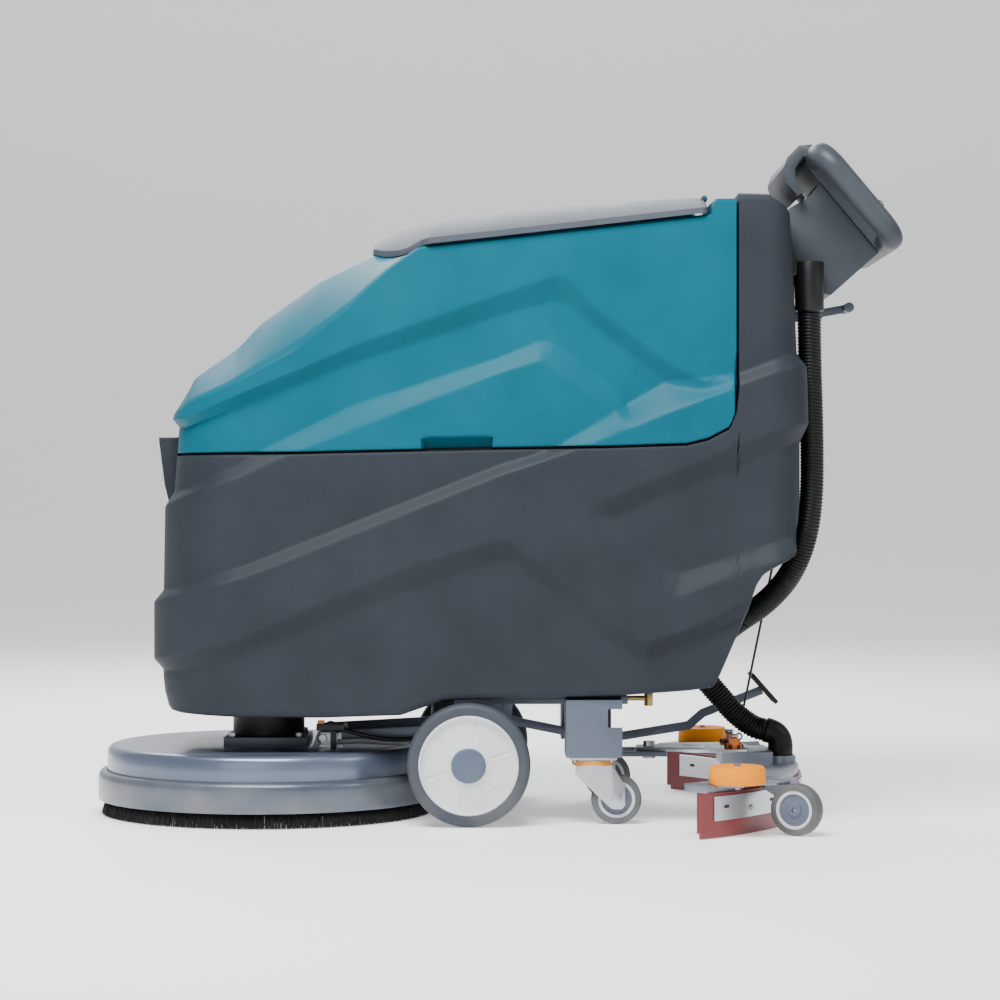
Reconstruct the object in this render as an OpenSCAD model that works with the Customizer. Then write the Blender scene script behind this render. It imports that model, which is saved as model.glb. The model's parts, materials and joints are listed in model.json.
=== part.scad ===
// Walk-behind floor scrubber: a disc brush in front, two tanks, batteries and a curved squeegee behind.
// +X points back to the operator, +Y to the machine's right and +Z up. The floor is Z = 0.

/* [Body] */
// Width of the body over both flanks
body_w = 472; // [420:1:520]
// Height of the joint between the two tanks
seam_z = 573; // [540:1:610]
// Wall of the moulded tanks
wall = 6; // [4:0.5:8]
// Gap between the two tanks at the joint
seam_gap = 4; // [2:0.5:6]
// Height of the rear column
column_z = 964; // [930:1:1000]

/* [Scrub deck] */
// Diameter of the brush over its bristles
brush_d = 530; // [430:1:560]
// Length of the bristles
bristle_len = 28; // [20:1:34]
// Height of the deck's top above the floor
deck_top_z = 110; // [104:0.5:112]
// Brush motor's diameter
motor_d = 114; // [90:1:130]
// How far the pedal lifts the deck
deck_lift = 28; // [10:1:30]

/* [Running gear] */
// Main wheel's diameter
wheel_d = 188; // [170:1:200]
// Main wheel's width
wheel_w = 44; // [30:1:50]
// Width over both main wheels
track_w = 480; // [440:1:500]
// Axle's diameter
axle_d = 20; // [14:0.5:24]
// Caster wheel's diameter
caster_d = 77; // [65:1:80]
// Distance between the casters' swivel axes
caster_track = 360; // [320:2:380]

/* [Squeegee] */
// Radius of the squeegee's curve at its rear blade
squeegee_r = 500; // [460:1:520]
// Half of the angle that the squeegee spans
squeegee_half = 49; // [40:0.5:52]
// Thickness of the rubber blades
blade_t = 4; // [3:0.5:5]
// Height of the rubber blades
blade_h = 66; // [50:1:68]
// Diameter of the bumper rollers
bumper_d = 84; // [60:1:90]
// Diameter of the squeegee's own wheels
squeegee_wheel_d = 77; // [65:1:80]

/* [Handle] */
// Width of the handle ring between the middles of its side bars
handle_w = 394; // [340:1:440]
// Length of the handle ring between the middles of its cross bars
handle_l = 170; // [150:1:180]
// Thickness of the handle bar
handle_t = 36; // [28:1:38]
// Angle of the handle ring from level
handle_tilt = 50; // [45:1:55]

/* [Hoses] */
// Outer diameter of the corrugated hoses
hose_d = 38; // [30:1:42]
// Diameter of the lift cable's sleeve
cable_d = 4; // [3:0.5:5]

/* [Hidden] */
$fn = 48;

eps = 0.5;
run = 0.05;                                // running clearance on a radius
fit = 0.2;                                 // room between clamped pieces with curved faces
gap = 0.3;                                 // clearance between pieces that don't slide on each other
hw = body_w / 2;

// body stations along X
front_x = -534;
rear_x = 462;
column_x = 365;                            // front face of the rear column
bulk_x = -145;                             // bulkhead between water and batteries
bay_x = 270;                               // rear end of the battery bay
floor_z = 194;                             // lowest point of the body over the frame

// scrub deck
deck_x = -368;
skirt_r = brush_d / 2 + 5;
deck_r = skirt_r - 14;
skirt_z = [24, 70];
deck_wall = 4;
well_r = motor_d / 2 + 40;
motor_z = [122, 330];
well_z = motor_z[1] + deck_lift + 14;

// running gear
axle_x = -46;
rail_w = 30;
rail_y = 120;
rail_z = [180, 192];
swivel_x = 144;
caster_trail = 36;
caster_plate_z = [100, 104];
caster_w = 24;

// deck lift
lift_x = 0;
lift_z = 140;
arm_x = -275;
arm_z = 125;
arm_y = 92;
arm_t = 8;
arm_h = 18;
lift_shaft_d = 16;
pedal_y = 101;
pedal_pts = [[0, 140], [120, 116], [204, 111], [310, 128], [333, 148], [372, 163], [430, 186]];

// squeegee
yoke_x = 150;
yoke_z = 95;
yoke_pin_d = 10;
swing_x = 240;
arc_x = -20;
channel_z = [66, 78];
strap_z = [26, 62];
strap_t = 2;
port_x = 450;
port_r = 19.5;
mouth_at = [426, 129];
elbow_bend = 22;

// handle
head_at = [549, 0, 964];
console_w = 220;
lever_at = [512, 797];
lever_y = 44;

// hoses, routes chosen by hand
hose_route = [
    [482, -130, 790], [482, -130, 760], [483, -130, 700], [485, -130, 635], [486, -130, 580], [486, -130, 530],
    [484, -128, 490], [479, -122, 450], [469, -110, 412], [454, -94, 378], [434, -74, 350], [412, -54, 328],
    [390, -36, 311], [370, -22, 295], [350, -12, 274], [335, -6, 253], [327, -2, 230], [330, 0, 212],
    [341, 0, 197], [354, 0, 182], [367, 0, 167], [380, 0, 154], [394, 0, 143], [411, 0, 133], [426, 0, 129]
];
hose_split = 12;
// keeps the lower hose clear of the upper one and of the elbow
hose_seam = 0.03;
cable_top = [442, 28, 398];
cable_low = [386, 28, 124.8];

// ---------- helpers ----------

function unit(v) = v / norm(v);

// moves each corner of a closed outline inwards by d; the outline runs counter-clockwise
function inset(p, d) = let(n = len(p)) [
    for (i = [0 : n - 1])
        let(a = unit(p[i] - p[(i + n - 1) % n]), b = unit(p[(i + 1) % n] - p[i]),
            na = [-a[1], a[0]], nb = [-b[1], b[0]], m = unit(na + nb))
        p[i] + m * d / max(0.3, m * na)
];

// corner points of a rounded box outline with its own radius at each end of X
function round_box(x0, x1, h, r0, r1, n = 8) = concat(
    [for (i = [0 : n]) [x0 + r0 - r0 * sin(90 * i / n), -h + r0 - r0 * cos(90 * i / n)]],
    [for (i = [0 : n]) [x0 + r0 - r0 * cos(90 * i / n), h - r0 + r0 * sin(90 * i / n)]],
    [for (i = [0 : n]) [x1 - r1 + r1 * sin(90 * i / n), h - r1 + r1 * cos(90 * i / n)]],
    [for (i = [0 : n]) [x1 - r1 + r1 * cos(90 * i / n), -h + r1 - r1 * sin(90 * i / n)]]
);

module side_slab(pts, w, y = 0) translate([0, y + w / 2, 0]) rotate([90, 0, 0]) linear_extrude(w) polygon(pts);

module rod_y(x, z, d, w, y = 0) translate([x, y, z]) rotate([90, 0, 0]) cylinder(d = d, h = w, center = true);

module tube_y(x, z, d, bore, w, y = 0) difference() {
    rod_y(x, z, d, w, y);
    rod_y(x, z, bore, w + 2 * eps, y);
}

// outline of a strip of height h along a line of points
function strip(pts, h) = let(n = len(pts), m = [for (i = [0 : n - 1])
    let(a = unit(pts[max(i, 1)] - pts[max(i, 1) - 1]), b = unit(pts[min(i + 1, n - 1)] - pts[min(i + 1, n - 1) - 1]),
        t = unit(a + b)) [-t[1], t[0]] / max(0.5, unit(a + b) * a)])
    concat([for (i = [0 : n - 1]) pts[i] - m[i] * h / 2], [for (i = [n - 1 : -1 : 0]) pts[i] + m[i] * h / 2]);

// flat bar in the XZ plane that follows a line of points
module bar_xz(pts, h, t, y) for (i = [0 : len(pts) - 2]) {
    d = pts[i + 1] - pts[i];
    translate([pts[i][0], y - t / 2, pts[i][1]]) rotate([0, -atan2(d[1], d[0]), 0])
        translate([0, 0, -h / 2]) cube([norm(d), t, h]);
}

// closed tube along a route, from its point a to its point b; neighbours share the ring where they meet
function side_of(t) = unit(cross(t, [0, 1, 0]));
module sweep(route, d, a, b) {
    last = len(route) - 1;
    sides = 12;
    rows = b - a + 1;
    rings = [for (i = [a : b])
        let(t = unit(route[min(i + 1, last)] - route[max(i - 1, 0)]), u = side_of(t), v = cross(t, u))
        for (k = [0 : sides - 1]) route[i] + d / 2 * (u * cos(360 * k / sides) + v * sin(360 * k / sides))];
    polyhedron(rings, concat(
        [[for (k = [0 : sides - 1]) k]],
        [for (i = [0 : rows - 2], k = [0 : sides - 1]) let(m = (k + 1) % sides)
            [i * sides + k, (i + 1) * sides + k, (i + 1) * sides + m, i * sides + m]],
        [[for (k = [sides - 1 : -1 : 0]) (rows - 1) * sides + k]]));
}

// sector of a flat ring about the squeegee's centre, from radius r0 to r1 and z0 to z1
module arc_band(r0, r1, z0, z1, half) translate([arc_x, 0, z0]) rotate([0, 0, -half])
    rotate_extrude(angle = 2 * half, $fn = 180) translate([r0, 0]) square([r1 - r0, z1 - z0]);

function on_arc(r, a) = [arc_x + r * cos(a), r * sin(a)];

// ---------- tanks ----------

tank_side = [
    [-512, 170], [-392, 166], [-271, 165], [-149, 169], [-112, 182], [-84, 192], [0, floor_z], [186, 199],
    [284, 206], [325, 211], [336, 229], [361, 287], [379, 330], [390, 366], [401, 383], [446, 411], [rear_x - 2, 456],
    [rear_x, 577], [460, 666], [452, 845], [446, column_z - 16], [404, column_z], [column_x, column_z],
    [column_x, seam_z + 100], [column_x - 4, seam_z + 60], [column_x - 20, seam_z + 26], [column_x - 46, seam_z + 8],
    [column_x - 80, seam_z], [-504, seam_z], [-510, 508], [-517, 486], [-522, 353], [-533, 333], [front_x, 242],
    [-522, 222]
];
plan_r = [110, 50];

module body_plan(d) translate([0, 0, 100]) linear_extrude(1000)
    polygon(round_box(front_x + d, rear_x - d, hw - d, plan_r[0] - d, plan_r[1] - d));

foot_x = [-30, 170];
battery_z = 210;
recess = [[bay_x + 6, 100], [600, 100], [600, 330], [bay_x + 6, 330]];
recess_w = 130;
filler_x = [-530, -508];
filler_w = 120;
filler_z = 590;

module solution_tank() color("#4a525c") difference() {
    union() {
        intersection() {
            side_slab(tank_side, body_w);
            body_plan(0);
        }
        // gland of the lift cable
        translate([cable_top[0], cable_top[1], cable_top[2] + 0.2]) cylinder(d = 14, h = 20);
        // moulded feet on the rails
        for (s = [-1, 1], x = foot_x) translate([x - 20, s * rail_y - 13, rail_z[1]]) cube([40, 26, 16]);
        // filler pocket on the nose
        side_slab([[-536, filler_z], [-520, 490], [-506, 490], [-505, filler_z]], filler_w + 12);
    }
    // water and battery spaces, with the walls that stay between them
    difference() {
        intersection() {
            side_slab(inset(tank_side, wall), body_w);
            body_plan(wall);
        }
        translate([bulk_x, -hw, 100]) cube([wall, body_w, 600]);
        translate([bay_x - wall, -hw, 100]) cube([wall, body_w, 330]);
        translate([bay_x, -hw, 430 - wall]) cube([200, body_w, wall]);
        translate([bulk_x, -hw, 100]) cube([bay_x - bulk_x, body_w, battery_z - 100]);
        translate([deck_x, 0, 100]) cylinder(r = well_r + wall, h = well_z + wall - 100);
        side_slab(inset(recess, -wall), recess_w + 2 * wall);
    }
    // open top of the battery bay
    translate([bulk_x + wall, -170, seam_z - 2 * wall]) cube([column_x - 90 - bulk_x - wall, 340, 4 * wall]);
    // cable and duct opening in the rear deck
    translate([bay_x + 20, -40, 430 - 2 * wall]) cube([40, 80, 3 * wall]);
    // motor well and rear recess, open from below
    translate([deck_x, 0, 90]) cylinder(r = well_r, h = well_z - 90);
    side_slab(recess, recess_w);
    // filler throat
    side_slab([[filler_x[0], filler_z + 1], [filler_x[0], 560], [-522, 500], [-500, 480], [-500, 520],
        [filler_x[1], 560], [filler_x[1], filler_z + 1]], filler_w);
}

cap_hinge = [-505.5, 594];
module filler_cap() color("#1b1d20") {
    translate([-536, -filler_w / 2 - 5, filler_z + gap]) cube([cap_hinge[0] + 536, filler_w + 10, 5]);
    rod_y(cap_hinge[0], cap_hinge[1], 5, filler_w);
    translate([filler_x[0] + 1.6, 2 - filler_w / 2, filler_z - 4]) cube([2, filler_w - 4, 5]);
}

ridge = [[-476, 690], [-407, 738], [-369, 778], [-281, 841]];
// height of the tank's top at x, where the lid lies
function top_z(x) = 886 + (x + 110) * 0.112;
hood_side = concat(
    [[-497, seam_z + seam_gap], [column_x - 80, seam_z + seam_gap], [column_x - 48, seam_z + 8 + seam_gap],
     [column_x - 24, seam_z + 29], [column_x - 8, seam_z + 62], [column_x - seam_gap, seam_z + 101],
     [column_x - seam_gap, column_z - 4], [323, column_z - 4], [320, top_z(320)], [-110, top_z(-110)],
     [-196, top_z(-110)]],
    [for (i = [3 : -1 : 0]) ridge[i]], [[-502, 642], [-501, 604]]);
crease_drop = 64;
crown_w = 110;

module house(x, z, slope, d) translate([x, 0, z]) rotate([0, -slope, 0]) translate([-600, 0, 0]) rotate([90, 0, 90])
    linear_extrude(1400) polygon([
        [-hw + d, -900], [hw - d, -900], [hw - d, -crease_drop - d], [crown_w, -d], [-crown_w, -d],
        [-hw + d, -crease_drop - d]]);

module hood_solid(d) intersection() {
    side_slab(inset(hood_side, d), body_w);
    translate([0, 0, 100]) linear_extrude(1000)
        polygon(round_box(-502 + d, column_x - d, hw - d, plan_r[0] - d, 4));
    house(-476, 700, 36, d);
}

mouth = [-80, 250];
mouth_w = 300;

module recovery_tank() color("#12879a") {
    difference() {
        hood_solid(0);
        difference() {
            hood_solid(wall);
            translate([-600, -hw, 500]) cube([1200, body_w, seam_z + seam_gap + wall - 500]);
        }
        // mouth under the lid
        translate([mouth[0], -mouth_w / 2, 780]) cube([mouth[1] - mouth[0], mouth_w, 200]);
        // room for the lid's barrels in the rear lip
        for (s = [-1, 1]) rod_y(lid_hinge[0], lid_hinge[1], 11, 28, s * lid_knuckle_y);
        // finger recess on the left flank
        translate([-130, -hw - 1, 500]) cube([116, 13, seam_z + seam_gap + 18 - 500]);
    }
    // wall behind the finger recess
    translate([-136, -hw + 12, seam_z + seam_gap]) cube([128, 4, 30]);
    for (x = hinge_xs) tank_knuckle(x);
    // pins of the lid's hinge, held in ears on the rear lip
    for (s = [-1, 1]) {
        rod_y(lid_hinge[0], lid_hinge[1], 5, 40, s * lid_knuckle_y);
        for (t = [-1, 1]) side_slab([[lid_hinge[0] - 4, lid_hinge[1] - 3], [lid_hinge[0] - 4, lid_hinge[1] + 4],
            [lid_hinge[0] + 4, lid_hinge[1] + 4], [lid_hinge[0] + 12, lid_hinge[1] - 6], [lid_hinge[0] + 3,
            lid_hinge[1] - 6]], 6, s * lid_knuckle_y + t * 17);
    }
}

hinge_xs = [-250, 150];
hinge_y = hw + 8;
hinge_z = seam_z + seam_gap / 2;
hinge_pin_d = 6;

module tank_knuckle(x) difference() {
    union() {
        translate([x - 10, hinge_y, hinge_z]) rotate([0, 90, 0]) cylinder(d = 13, h = 20);
        translate([x - 10, hw - 2, hinge_z + 3]) cube([20, 9, 16]);
    }
    translate([x - 11, hinge_y, hinge_z]) rotate([0, 90, 0]) cylinder(d = hinge_pin_d + 2 * run, h = 22);
}

module tank_hinges() color("#8d949c") for (x = hinge_xs) {
    for (s = [-1, 1]) translate([x + s * 18 - 7, 0, 0]) {
        translate([0, hinge_y, hinge_z]) rotate([0, 90, 0]) cylinder(d = 12, h = 14);
        translate([0, hw + gap, hinge_z - 30]) cube([14, 5, 30]);
    }
    translate([x - 25, hinge_y, hinge_z]) rotate([0, 90, 0]) cylinder(d = hinge_pin_d, h = 50);
}

cage_at = [282, -95, 836];
module float_cage() color("#2a2d31") translate(cage_at) {
    difference() {
        cylinder(r = 30, h = 84.2);
        translate([0, 0, 4]) cylinder(r = 26, h = 90);
        for (a = [0 : 45 : 135]) rotate([0, 0, a]) translate([-40, -5, 10]) cube([80, 10, 56]);
    }
    translate([0, 0, 18 + gap]) sphere(r = 14);
}

lid_x = [-197, 317];
lid_w = 456;
lid_side = [
    [lid_x[0], top_z(-110) + gap], [-110, top_z(-110) + gap], [lid_x[1], top_z(lid_x[1]) + gap],
    [lid_x[1], 960], [306, 972], [210, 964], [0, 950], [-110, 934], [-160, 915], [lid_x[0], top_z(-110) + 8]
];
lid_hinge = [318, 963];
lid_knuckle_y = 130;
lid_slope = 5;

// crowned cross-section of the lid, thinner by d
module lid_crown(d) translate([lid_x[0], 0, 902]) rotate([0, -lid_slope, 0]) translate([-100, 0, 0])
    rotate([90, 0, 90]) linear_extrude(800) polygon([
        [-lid_w / 2 + d, -80], [lid_w / 2 - d, -80], [lid_w / 2 - d, 2 - d], [lid_w / 2 - 60, 22 - d],
        [80, 42 - d], [-80, 42 - d], [-lid_w / 2 + 60, 22 - d], [-lid_w / 2 + d, 2 - d]]);

module tank_lid() color("#5a6068") difference() {
    union() {
        intersection() {
            side_slab(lid_side, lid_w);
            translate([0, 0, 700]) linear_extrude(400) polygon(round_box(lid_x[0], lid_x[1], lid_w / 2, 90, 10));
            lid_crown(0);
        }
        for (s = [-1, 1]) rod_y(lid_hinge[0], lid_hinge[1], 10, 26, s * lid_knuckle_y);
    }
    // bores and ear notches of the hinge
    for (s = [-1, 1]) {
        rod_y(lid_hinge[0], lid_hinge[1], 5 + 2 * run, 60, s * lid_knuckle_y);
        for (t = [-1, 1]) rod_y(lid_hinge[0], lid_hinge[1], 15, 7, s * lid_knuckle_y + t * 16.9);
    }
    // hollow underneath
    intersection() {
        side_slab([[-150, 870], [305, 870], [305, 958], [210, 957], [0, 943], [-106, 927], [-150, 911]], lid_w);
        translate([0, 0, 700]) linear_extrude(400)
            polygon(round_box(-150, 305, lid_w / 2 - 8, 70, 6));
        lid_crown(7);
    }
}

// ---------- inside the body ----------

battery = [172, 330, 218];

module batteries() color("#20242a") for (i = [0, 1])
    translate([-96 + i * (battery[0] + 6), -battery[1] / 2, battery_z]) {
        cube(battery);
        for (s = [40, battery[1] - 40]) translate([30, s, battery[2]]) cylinder(d = 16, h = 14);
    }

module vacuum_motor() color("#2c3036") translate([376, 0, 430 + gap]) {
    cylinder(d = 124, h = 60);
    translate([0, 0, 60]) cylinder(d = 96, h = 50);
    translate([0, 0, 110]) cylinder(d = 40, h = 16);
}

module controller() color("#6b7178") translate([column_x + wall, -70, 700]) {
    cube([34, 140, 180]);
    for (i = [0 : 6]) translate([34, 10 + i * 18, 6]) cube([12, 3, 168]);
}

// ---------- chassis ----------

bracket_x = [102, 188];
bracket_y = [128, 214];
plate_t = 4;

module chassis_frame() color("#7b8494") difference() {
    union() {
        for (s = [-1, 1]) {
            translate([-70, s * rail_y - rail_w / 2, rail_z[0]]) cube([270, rail_w, rail_z[1] - rail_z[0]]);
            // axle cheek
            side_slab([[axle_x - 22, 76], [axle_x + 22, 76], [axle_x + 50, rail_z[0] + 1], [axle_x - 24, rail_z[0] + 1]],
                8, s * (rail_y + 8));
            // caster bracket: outer cheek, front web, foot and top flange
            translate([bracket_x[0], s > 0 ? bracket_y[1] - plate_t : -bracket_y[1], caster_plate_z[1]])
                cube([bracket_x[1] - bracket_x[0], plate_t, rail_z[1] - caster_plate_z[1]]);
            translate([bracket_x[0], s > 0 ? bracket_y[0] - 16 : -bracket_y[1], caster_plate_z[1]])
                cube([plate_t, bracket_y[1] - bracket_y[0] + 16, rail_z[1] - caster_plate_z[1]]);
            translate([bracket_x[0], s > 0 ? bracket_y[0] : -bracket_y[1], caster_plate_z[1]])
                cube([bracket_x[1] - bracket_x[0], bracket_y[1] - bracket_y[0], plate_t]);
            translate([bracket_x[0], s > 0 ? rail_y : -bracket_y[1], rail_z[1] - plate_t])
                cube([bracket_x[1] - bracket_x[0], bracket_y[1] - rail_y, plate_t]);
            // lift shaft cheek
            side_slab([[lift_x - 14, lift_z - 14], [lift_x + 14, lift_z - 14], [lift_x + 22, rail_z[0] + 1],
                [lift_x - 22, rail_z[0] + 1]], 6, s * (rail_y - 4));
            // yoke cheek
            side_slab([[yoke_x - 12, yoke_z - 12], [yoke_x + 12, yoke_z - 12], [yoke_x + 20, rail_z[1]],
                [yoke_x - 20, rail_z[1]]], 6, s * 54);
        }
        for (x = [-70, 60, yoke_x - 12]) translate([x, -rail_y - rail_w / 2, rail_z[0]])
            cube([24, 2 * rail_y + rail_w, rail_z[1] - rail_z[0]]);
    }
    // cut-out in each outer cheek
    for (s = [-1, 1]) translate([166, s * (bracket_y[1] - 2) - 10, 150]) cube([30, 20, 28]);
    rod_y(axle_x, wheel_d / 2, axle_d, 400);
    rod_y(lift_x, lift_z, lift_shaft_d + 2 * run, 300);
    rod_y(yoke_x, yoke_z, yoke_pin_d, 140);
}

module axle_and_pins() color("#9aa0a8") {
    rod_y(axle_x, wheel_d / 2, axle_d, track_w - 24);
    rod_y(yoke_x, yoke_z, yoke_pin_d, 122);
}

module caster_plates() color("#c8ccd0") for (s = [-1, 1]) translate([swivel_x, s * caster_track / 2, 0]) {
    difference() {
        translate([-36, -30, caster_plate_z[0]]) cube([72, 60, caster_plate_z[1] - caster_plate_z[0]]);
        for (a = [-1, 1], b = [-1, 1]) translate([a * 28, b * 22, 90]) cylinder(d = 7, h = 20);
    }
    translate([0, 0, fork_top - 14]) cylinder(d = stem_d, h = caster_plate_z[0] - fork_top + 14);
}

module water_filter() color("#3b4148") difference() {
    translate([-90, 40, 0]) {
        translate([0, 0, 140]) cylinder(d = 38, h = 34);
        translate([0, 0, 173]) cylinder(d = 26, h = 30);
    }
    side_slab(inset(tank_side, -gap), body_w);
}

valve_at = [236, -60];
module drain_valve() color("#b09a70") {
    translate([valve_at[0], valve_at[1], 172]) cylinder(d = 14, h = 24);
    translate([valve_at[0], valve_at[1], 196]) cylinder(d = 9, h = 6);
    // pipe that runs forward to the tank's outlet
    translate([176, valve_at[1], 184]) rotate([0, 90, 0]) cylinder(d = 8, h = valve_at[0] - 182);
}

// ---------- wheels ----------

module at_wheel(s) translate([axle_x, s * (track_w - wheel_w) / 2, wheel_d / 2]) rotate([s * -90, 0, 0]) children();

rim_d = wheel_d * 0.81;
hub_d = 54;

module tyre(s) color("#454d58") at_wheel(s) difference() {
    cylinder(d = wheel_d, h = wheel_w, center = true, $fn = 96);
    cylinder(d = rim_d, h = wheel_w + 2, center = true, $fn = 96);
}

// one-piece rim: drum, centre web, hub and dished outer face
module rim(s) color("#d5d8da") at_wheel(s) difference() {
    cylinder(d = rim_d, h = wheel_w - 6, center = true, $fn = 96);
    translate([0, 0, -wheel_w]) cylinder(d = axle_d + 2 * run, h = 2 * wheel_w - 6 - run);
    // hollow on the inner side
    translate([0, 0, -wheel_w / 2]) difference() {
        cylinder(d = rim_d - 14, h = wheel_w - 14, $fn = 96);
        cylinder(d = hub_d, h = wheel_w);
    }
}

stem_d = 16;
fork_top = 99.7;
fork_t = 3;

module caster_fork(s) color("#b9bdc2") translate([swivel_x, s * caster_track / 2, 0]) {
    difference() {
        union() {
            translate([0, 0, fork_top - 9]) cylinder(d = 62, h = 9);
            translate([-26, -caster_w / 2 - 6, fork_top - 14]) cube([56, caster_w + 12, 6]);
            for (t = [-1, 1]) side_slab([[-26, fork_top - 10], [-26, 76], [caster_trail - 12, 28],
                [caster_trail - 6, 24], [caster_trail + 8, 24], [caster_trail + 13, 30], [caster_trail + 13, 60],
                [30, fork_top - 10]], fork_t, t * (caster_w / 2 + 6 - fork_t / 2));
        }
        translate([0, 0, 60]) cylinder(d = stem_d + 2 * run, h = 60);
        // room for the wheel under the crown
        rod_y(caster_trail, caster_d / 2, caster_d + 4, caster_w + 5);
    }
    // wheel bolt with its head and nut
    rod_y(caster_trail, caster_d / 2, 8, caster_w + 18);
    for (t = [-1, 1]) rod_y(caster_trail, caster_d / 2, 14, 4, t * (caster_w / 2 + 8));
}

module small_wheel(d, w, bore) {
    difference() {
        rod_y(0, 0, d, w);
        rod_y(0, 0, d * 0.74, w + 2);
    }
    difference() {
        rod_y(0, 0, d * 0.74, w - 3);
        rod_y(0, 0, bore + 2 * run, w + 2);
    }
}

module caster_wheel(s) color("#5b6067") translate([swivel_x + caster_trail, s * caster_track / 2, caster_d / 2])
    small_wheel(caster_d, caster_w, 8);

// ---------- scrub deck ----------

module deck_cover() color("#8c96a8") translate([deck_x, 0, 0]) {
    difference() {
        union() {
            translate([0, 0, skirt_z[1] - 12]) cylinder(r = deck_r, h = deck_top_z - 8 - skirt_z[1] + 12, $fn = 120);
            translate([0, 0, deck_top_z - 8]) cylinder(r1 = deck_r, r2 = deck_r - 10, h = 8, $fn = 120);
        }
        translate([0, 0, skirt_z[1] - 13]) cylinder(r = deck_r - deck_wall - 8, h = deck_top_z - skirt_z[1] + 9,
            $fn = 120);
        cylinder(d = 60, h = 200);
        for (a = [-1, 1], b = [-1, 1]) translate([a * 52, b * 52, 80]) cylinder(d = 8, h = 60);
    }
    // lugs and pivot pins of the lift
    for (s = [-1, 1]) {
        side_slab([[arm_x - deck_x - 18, deck_top_z], [arm_x - deck_x + 18, deck_top_z],
            [arm_x - deck_x + 9, arm_z + 9], [arm_x - deck_x - 9, arm_z + 9]], 6, s * (arm_y - 8));
        rod_y(arm_x - deck_x, arm_z, 10, 16, s * (arm_y - 1));
    }
}

module splash_skirt() color("#7d879a") translate([deck_x, 0, 0]) difference() {
    union() {
        translate([0, 0, skirt_z[0]]) cylinder(r = skirt_r, h = skirt_z[1] - skirt_z[0] - 6, $fn = 120);
        translate([0, 0, skirt_z[1] - 6]) cylinder(r1 = skirt_r, r2 = skirt_r - 6, h = 6, $fn = 120);
    }
    translate([0, 0, skirt_z[0] - 1]) cylinder(r = deck_r + 0.2, h = skirt_z[1] - skirt_z[0] + 2, $fn = 120);
    translate([0, 0, skirt_z[0] - 1]) cylinder(r = skirt_r - 5, h = block_z[1] + 3 - skirt_z[0], $fn = 120);
}

module motor_plate() color("#7b8494") translate([deck_x, 0, 0]) difference() {
    translate([-66, -66, deck_top_z]) cube([132, 132, motor_z[0] - deck_top_z]);
    cylinder(d = 60, h = 200);
    for (a = [-1, 1], b = [-1, 1]) translate([a * 52, b * 52, 100]) cylinder(d = 8, h = 30);
}

module motor_bolts() color("#c6cace") translate([deck_x, 0, 0]) for (a = [-1, 1], b = [-1, 1])
    translate([a * 52, b * 52, 0]) {
        translate([0, 0, deck_top_z - 4]) cylinder(d = 8, h = motor_z[0] - deck_top_z + 4);
        translate([0, 0, motor_z[0]]) cylinder(d = 14, h = 7, $fn = 6);
    }

module brush_motor() color("#14181d") translate([deck_x, 0, 0]) difference() {
    union() {
        translate([0, 0, motor_z[0]]) cylinder(d = motor_d, h = motor_z[1] - motor_z[0] - 12);
        translate([0, 0, motor_z[1] - 12]) cylinder(d = motor_d - 14, h = 12);
        translate([0, 0, 88]) cylinder(d = 50, h = motor_z[0] - 88);
        translate([0, 0, block_z[1] + 12]) cylinder(d = 20, h = 88 - block_z[1] - 12);
    }
    for (a = [-1, 1], b = [-1, 1]) translate([a * 52, b * 52, 100]) cylinder(d = 18, h = 34);
}

block_z = [bristle_len, bristle_len + 18];

module drive_hub() color("#9aa0a8") translate([deck_x, 0, block_z[1]]) difference() {
    union() {
        cylinder(d = 150, h = 10);
        cylinder(d = 48, h = 36);
    }
    translate([0, 0, 11]) cylinder(d = 20 + 2 * run, h = 40);
}

module brush_block() color("#1d2024") translate([deck_x, 0, block_z[0]]) difference() {
    cylinder(r = brush_d / 2 - 14, h = block_z[1] - block_z[0], $fn = 120);
    translate([0, 0, -1]) cylinder(r = 60, h = 40);
}

module bristles() color("#0f1012") translate([deck_x, 0, 0]) difference() {
    cylinder(r1 = brush_d / 2, r2 = brush_d / 2 - 8, h = bristle_len, $fn = 120);
    translate([0, 0, -1]) cylinder(r = 90, h = 60);
}

// ---------- deck lift ----------

module deck_lift_arm() color("#7b8494") difference() {
    union() {
        rod_y(lift_x, lift_z, lift_shaft_d, 2 * rail_y - 2);
        for (s = [-1, 1]) {
            bar_xz([[lift_x, lift_z], [arm_x, arm_z]], arm_h, arm_t, s * arm_y);
            rod_y(lift_x, lift_z, 26, arm_t + 1, s * arm_y);
            rod_y(arm_x, arm_z, arm_h + 4, arm_t + 1, s * arm_y);
        }
        side_slab(strip(pedal_pts, 14), 6, pedal_y);
        rod_y(lift_x, lift_z, 26, 6, pedal_y);
    }
    for (s = [-1, 1]) rod_y(arm_x, arm_z, 10 + 2 * run, arm_t + 2, s * arm_y);
}

pad_at = [431, 186];
pad_tilt = 48.6;
module pedal_pad() color("#1b1d20") difference() {
    translate([pad_at[0], pedal_y, pad_at[1]]) rotate([0, pad_tilt, 0]) translate([-31, -12, 0]) cube([62, 70, 7]);
    side_slab(strip(concat(pedal_pts, [pad_at + [20, 8]]), 14 + 2 * gap), 6 + 2 * gap, pedal_y);
}

// ---------- squeegee ----------

module linear_z(z, h) translate([0, 0, z]) linear_extrude(h) children();

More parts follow.
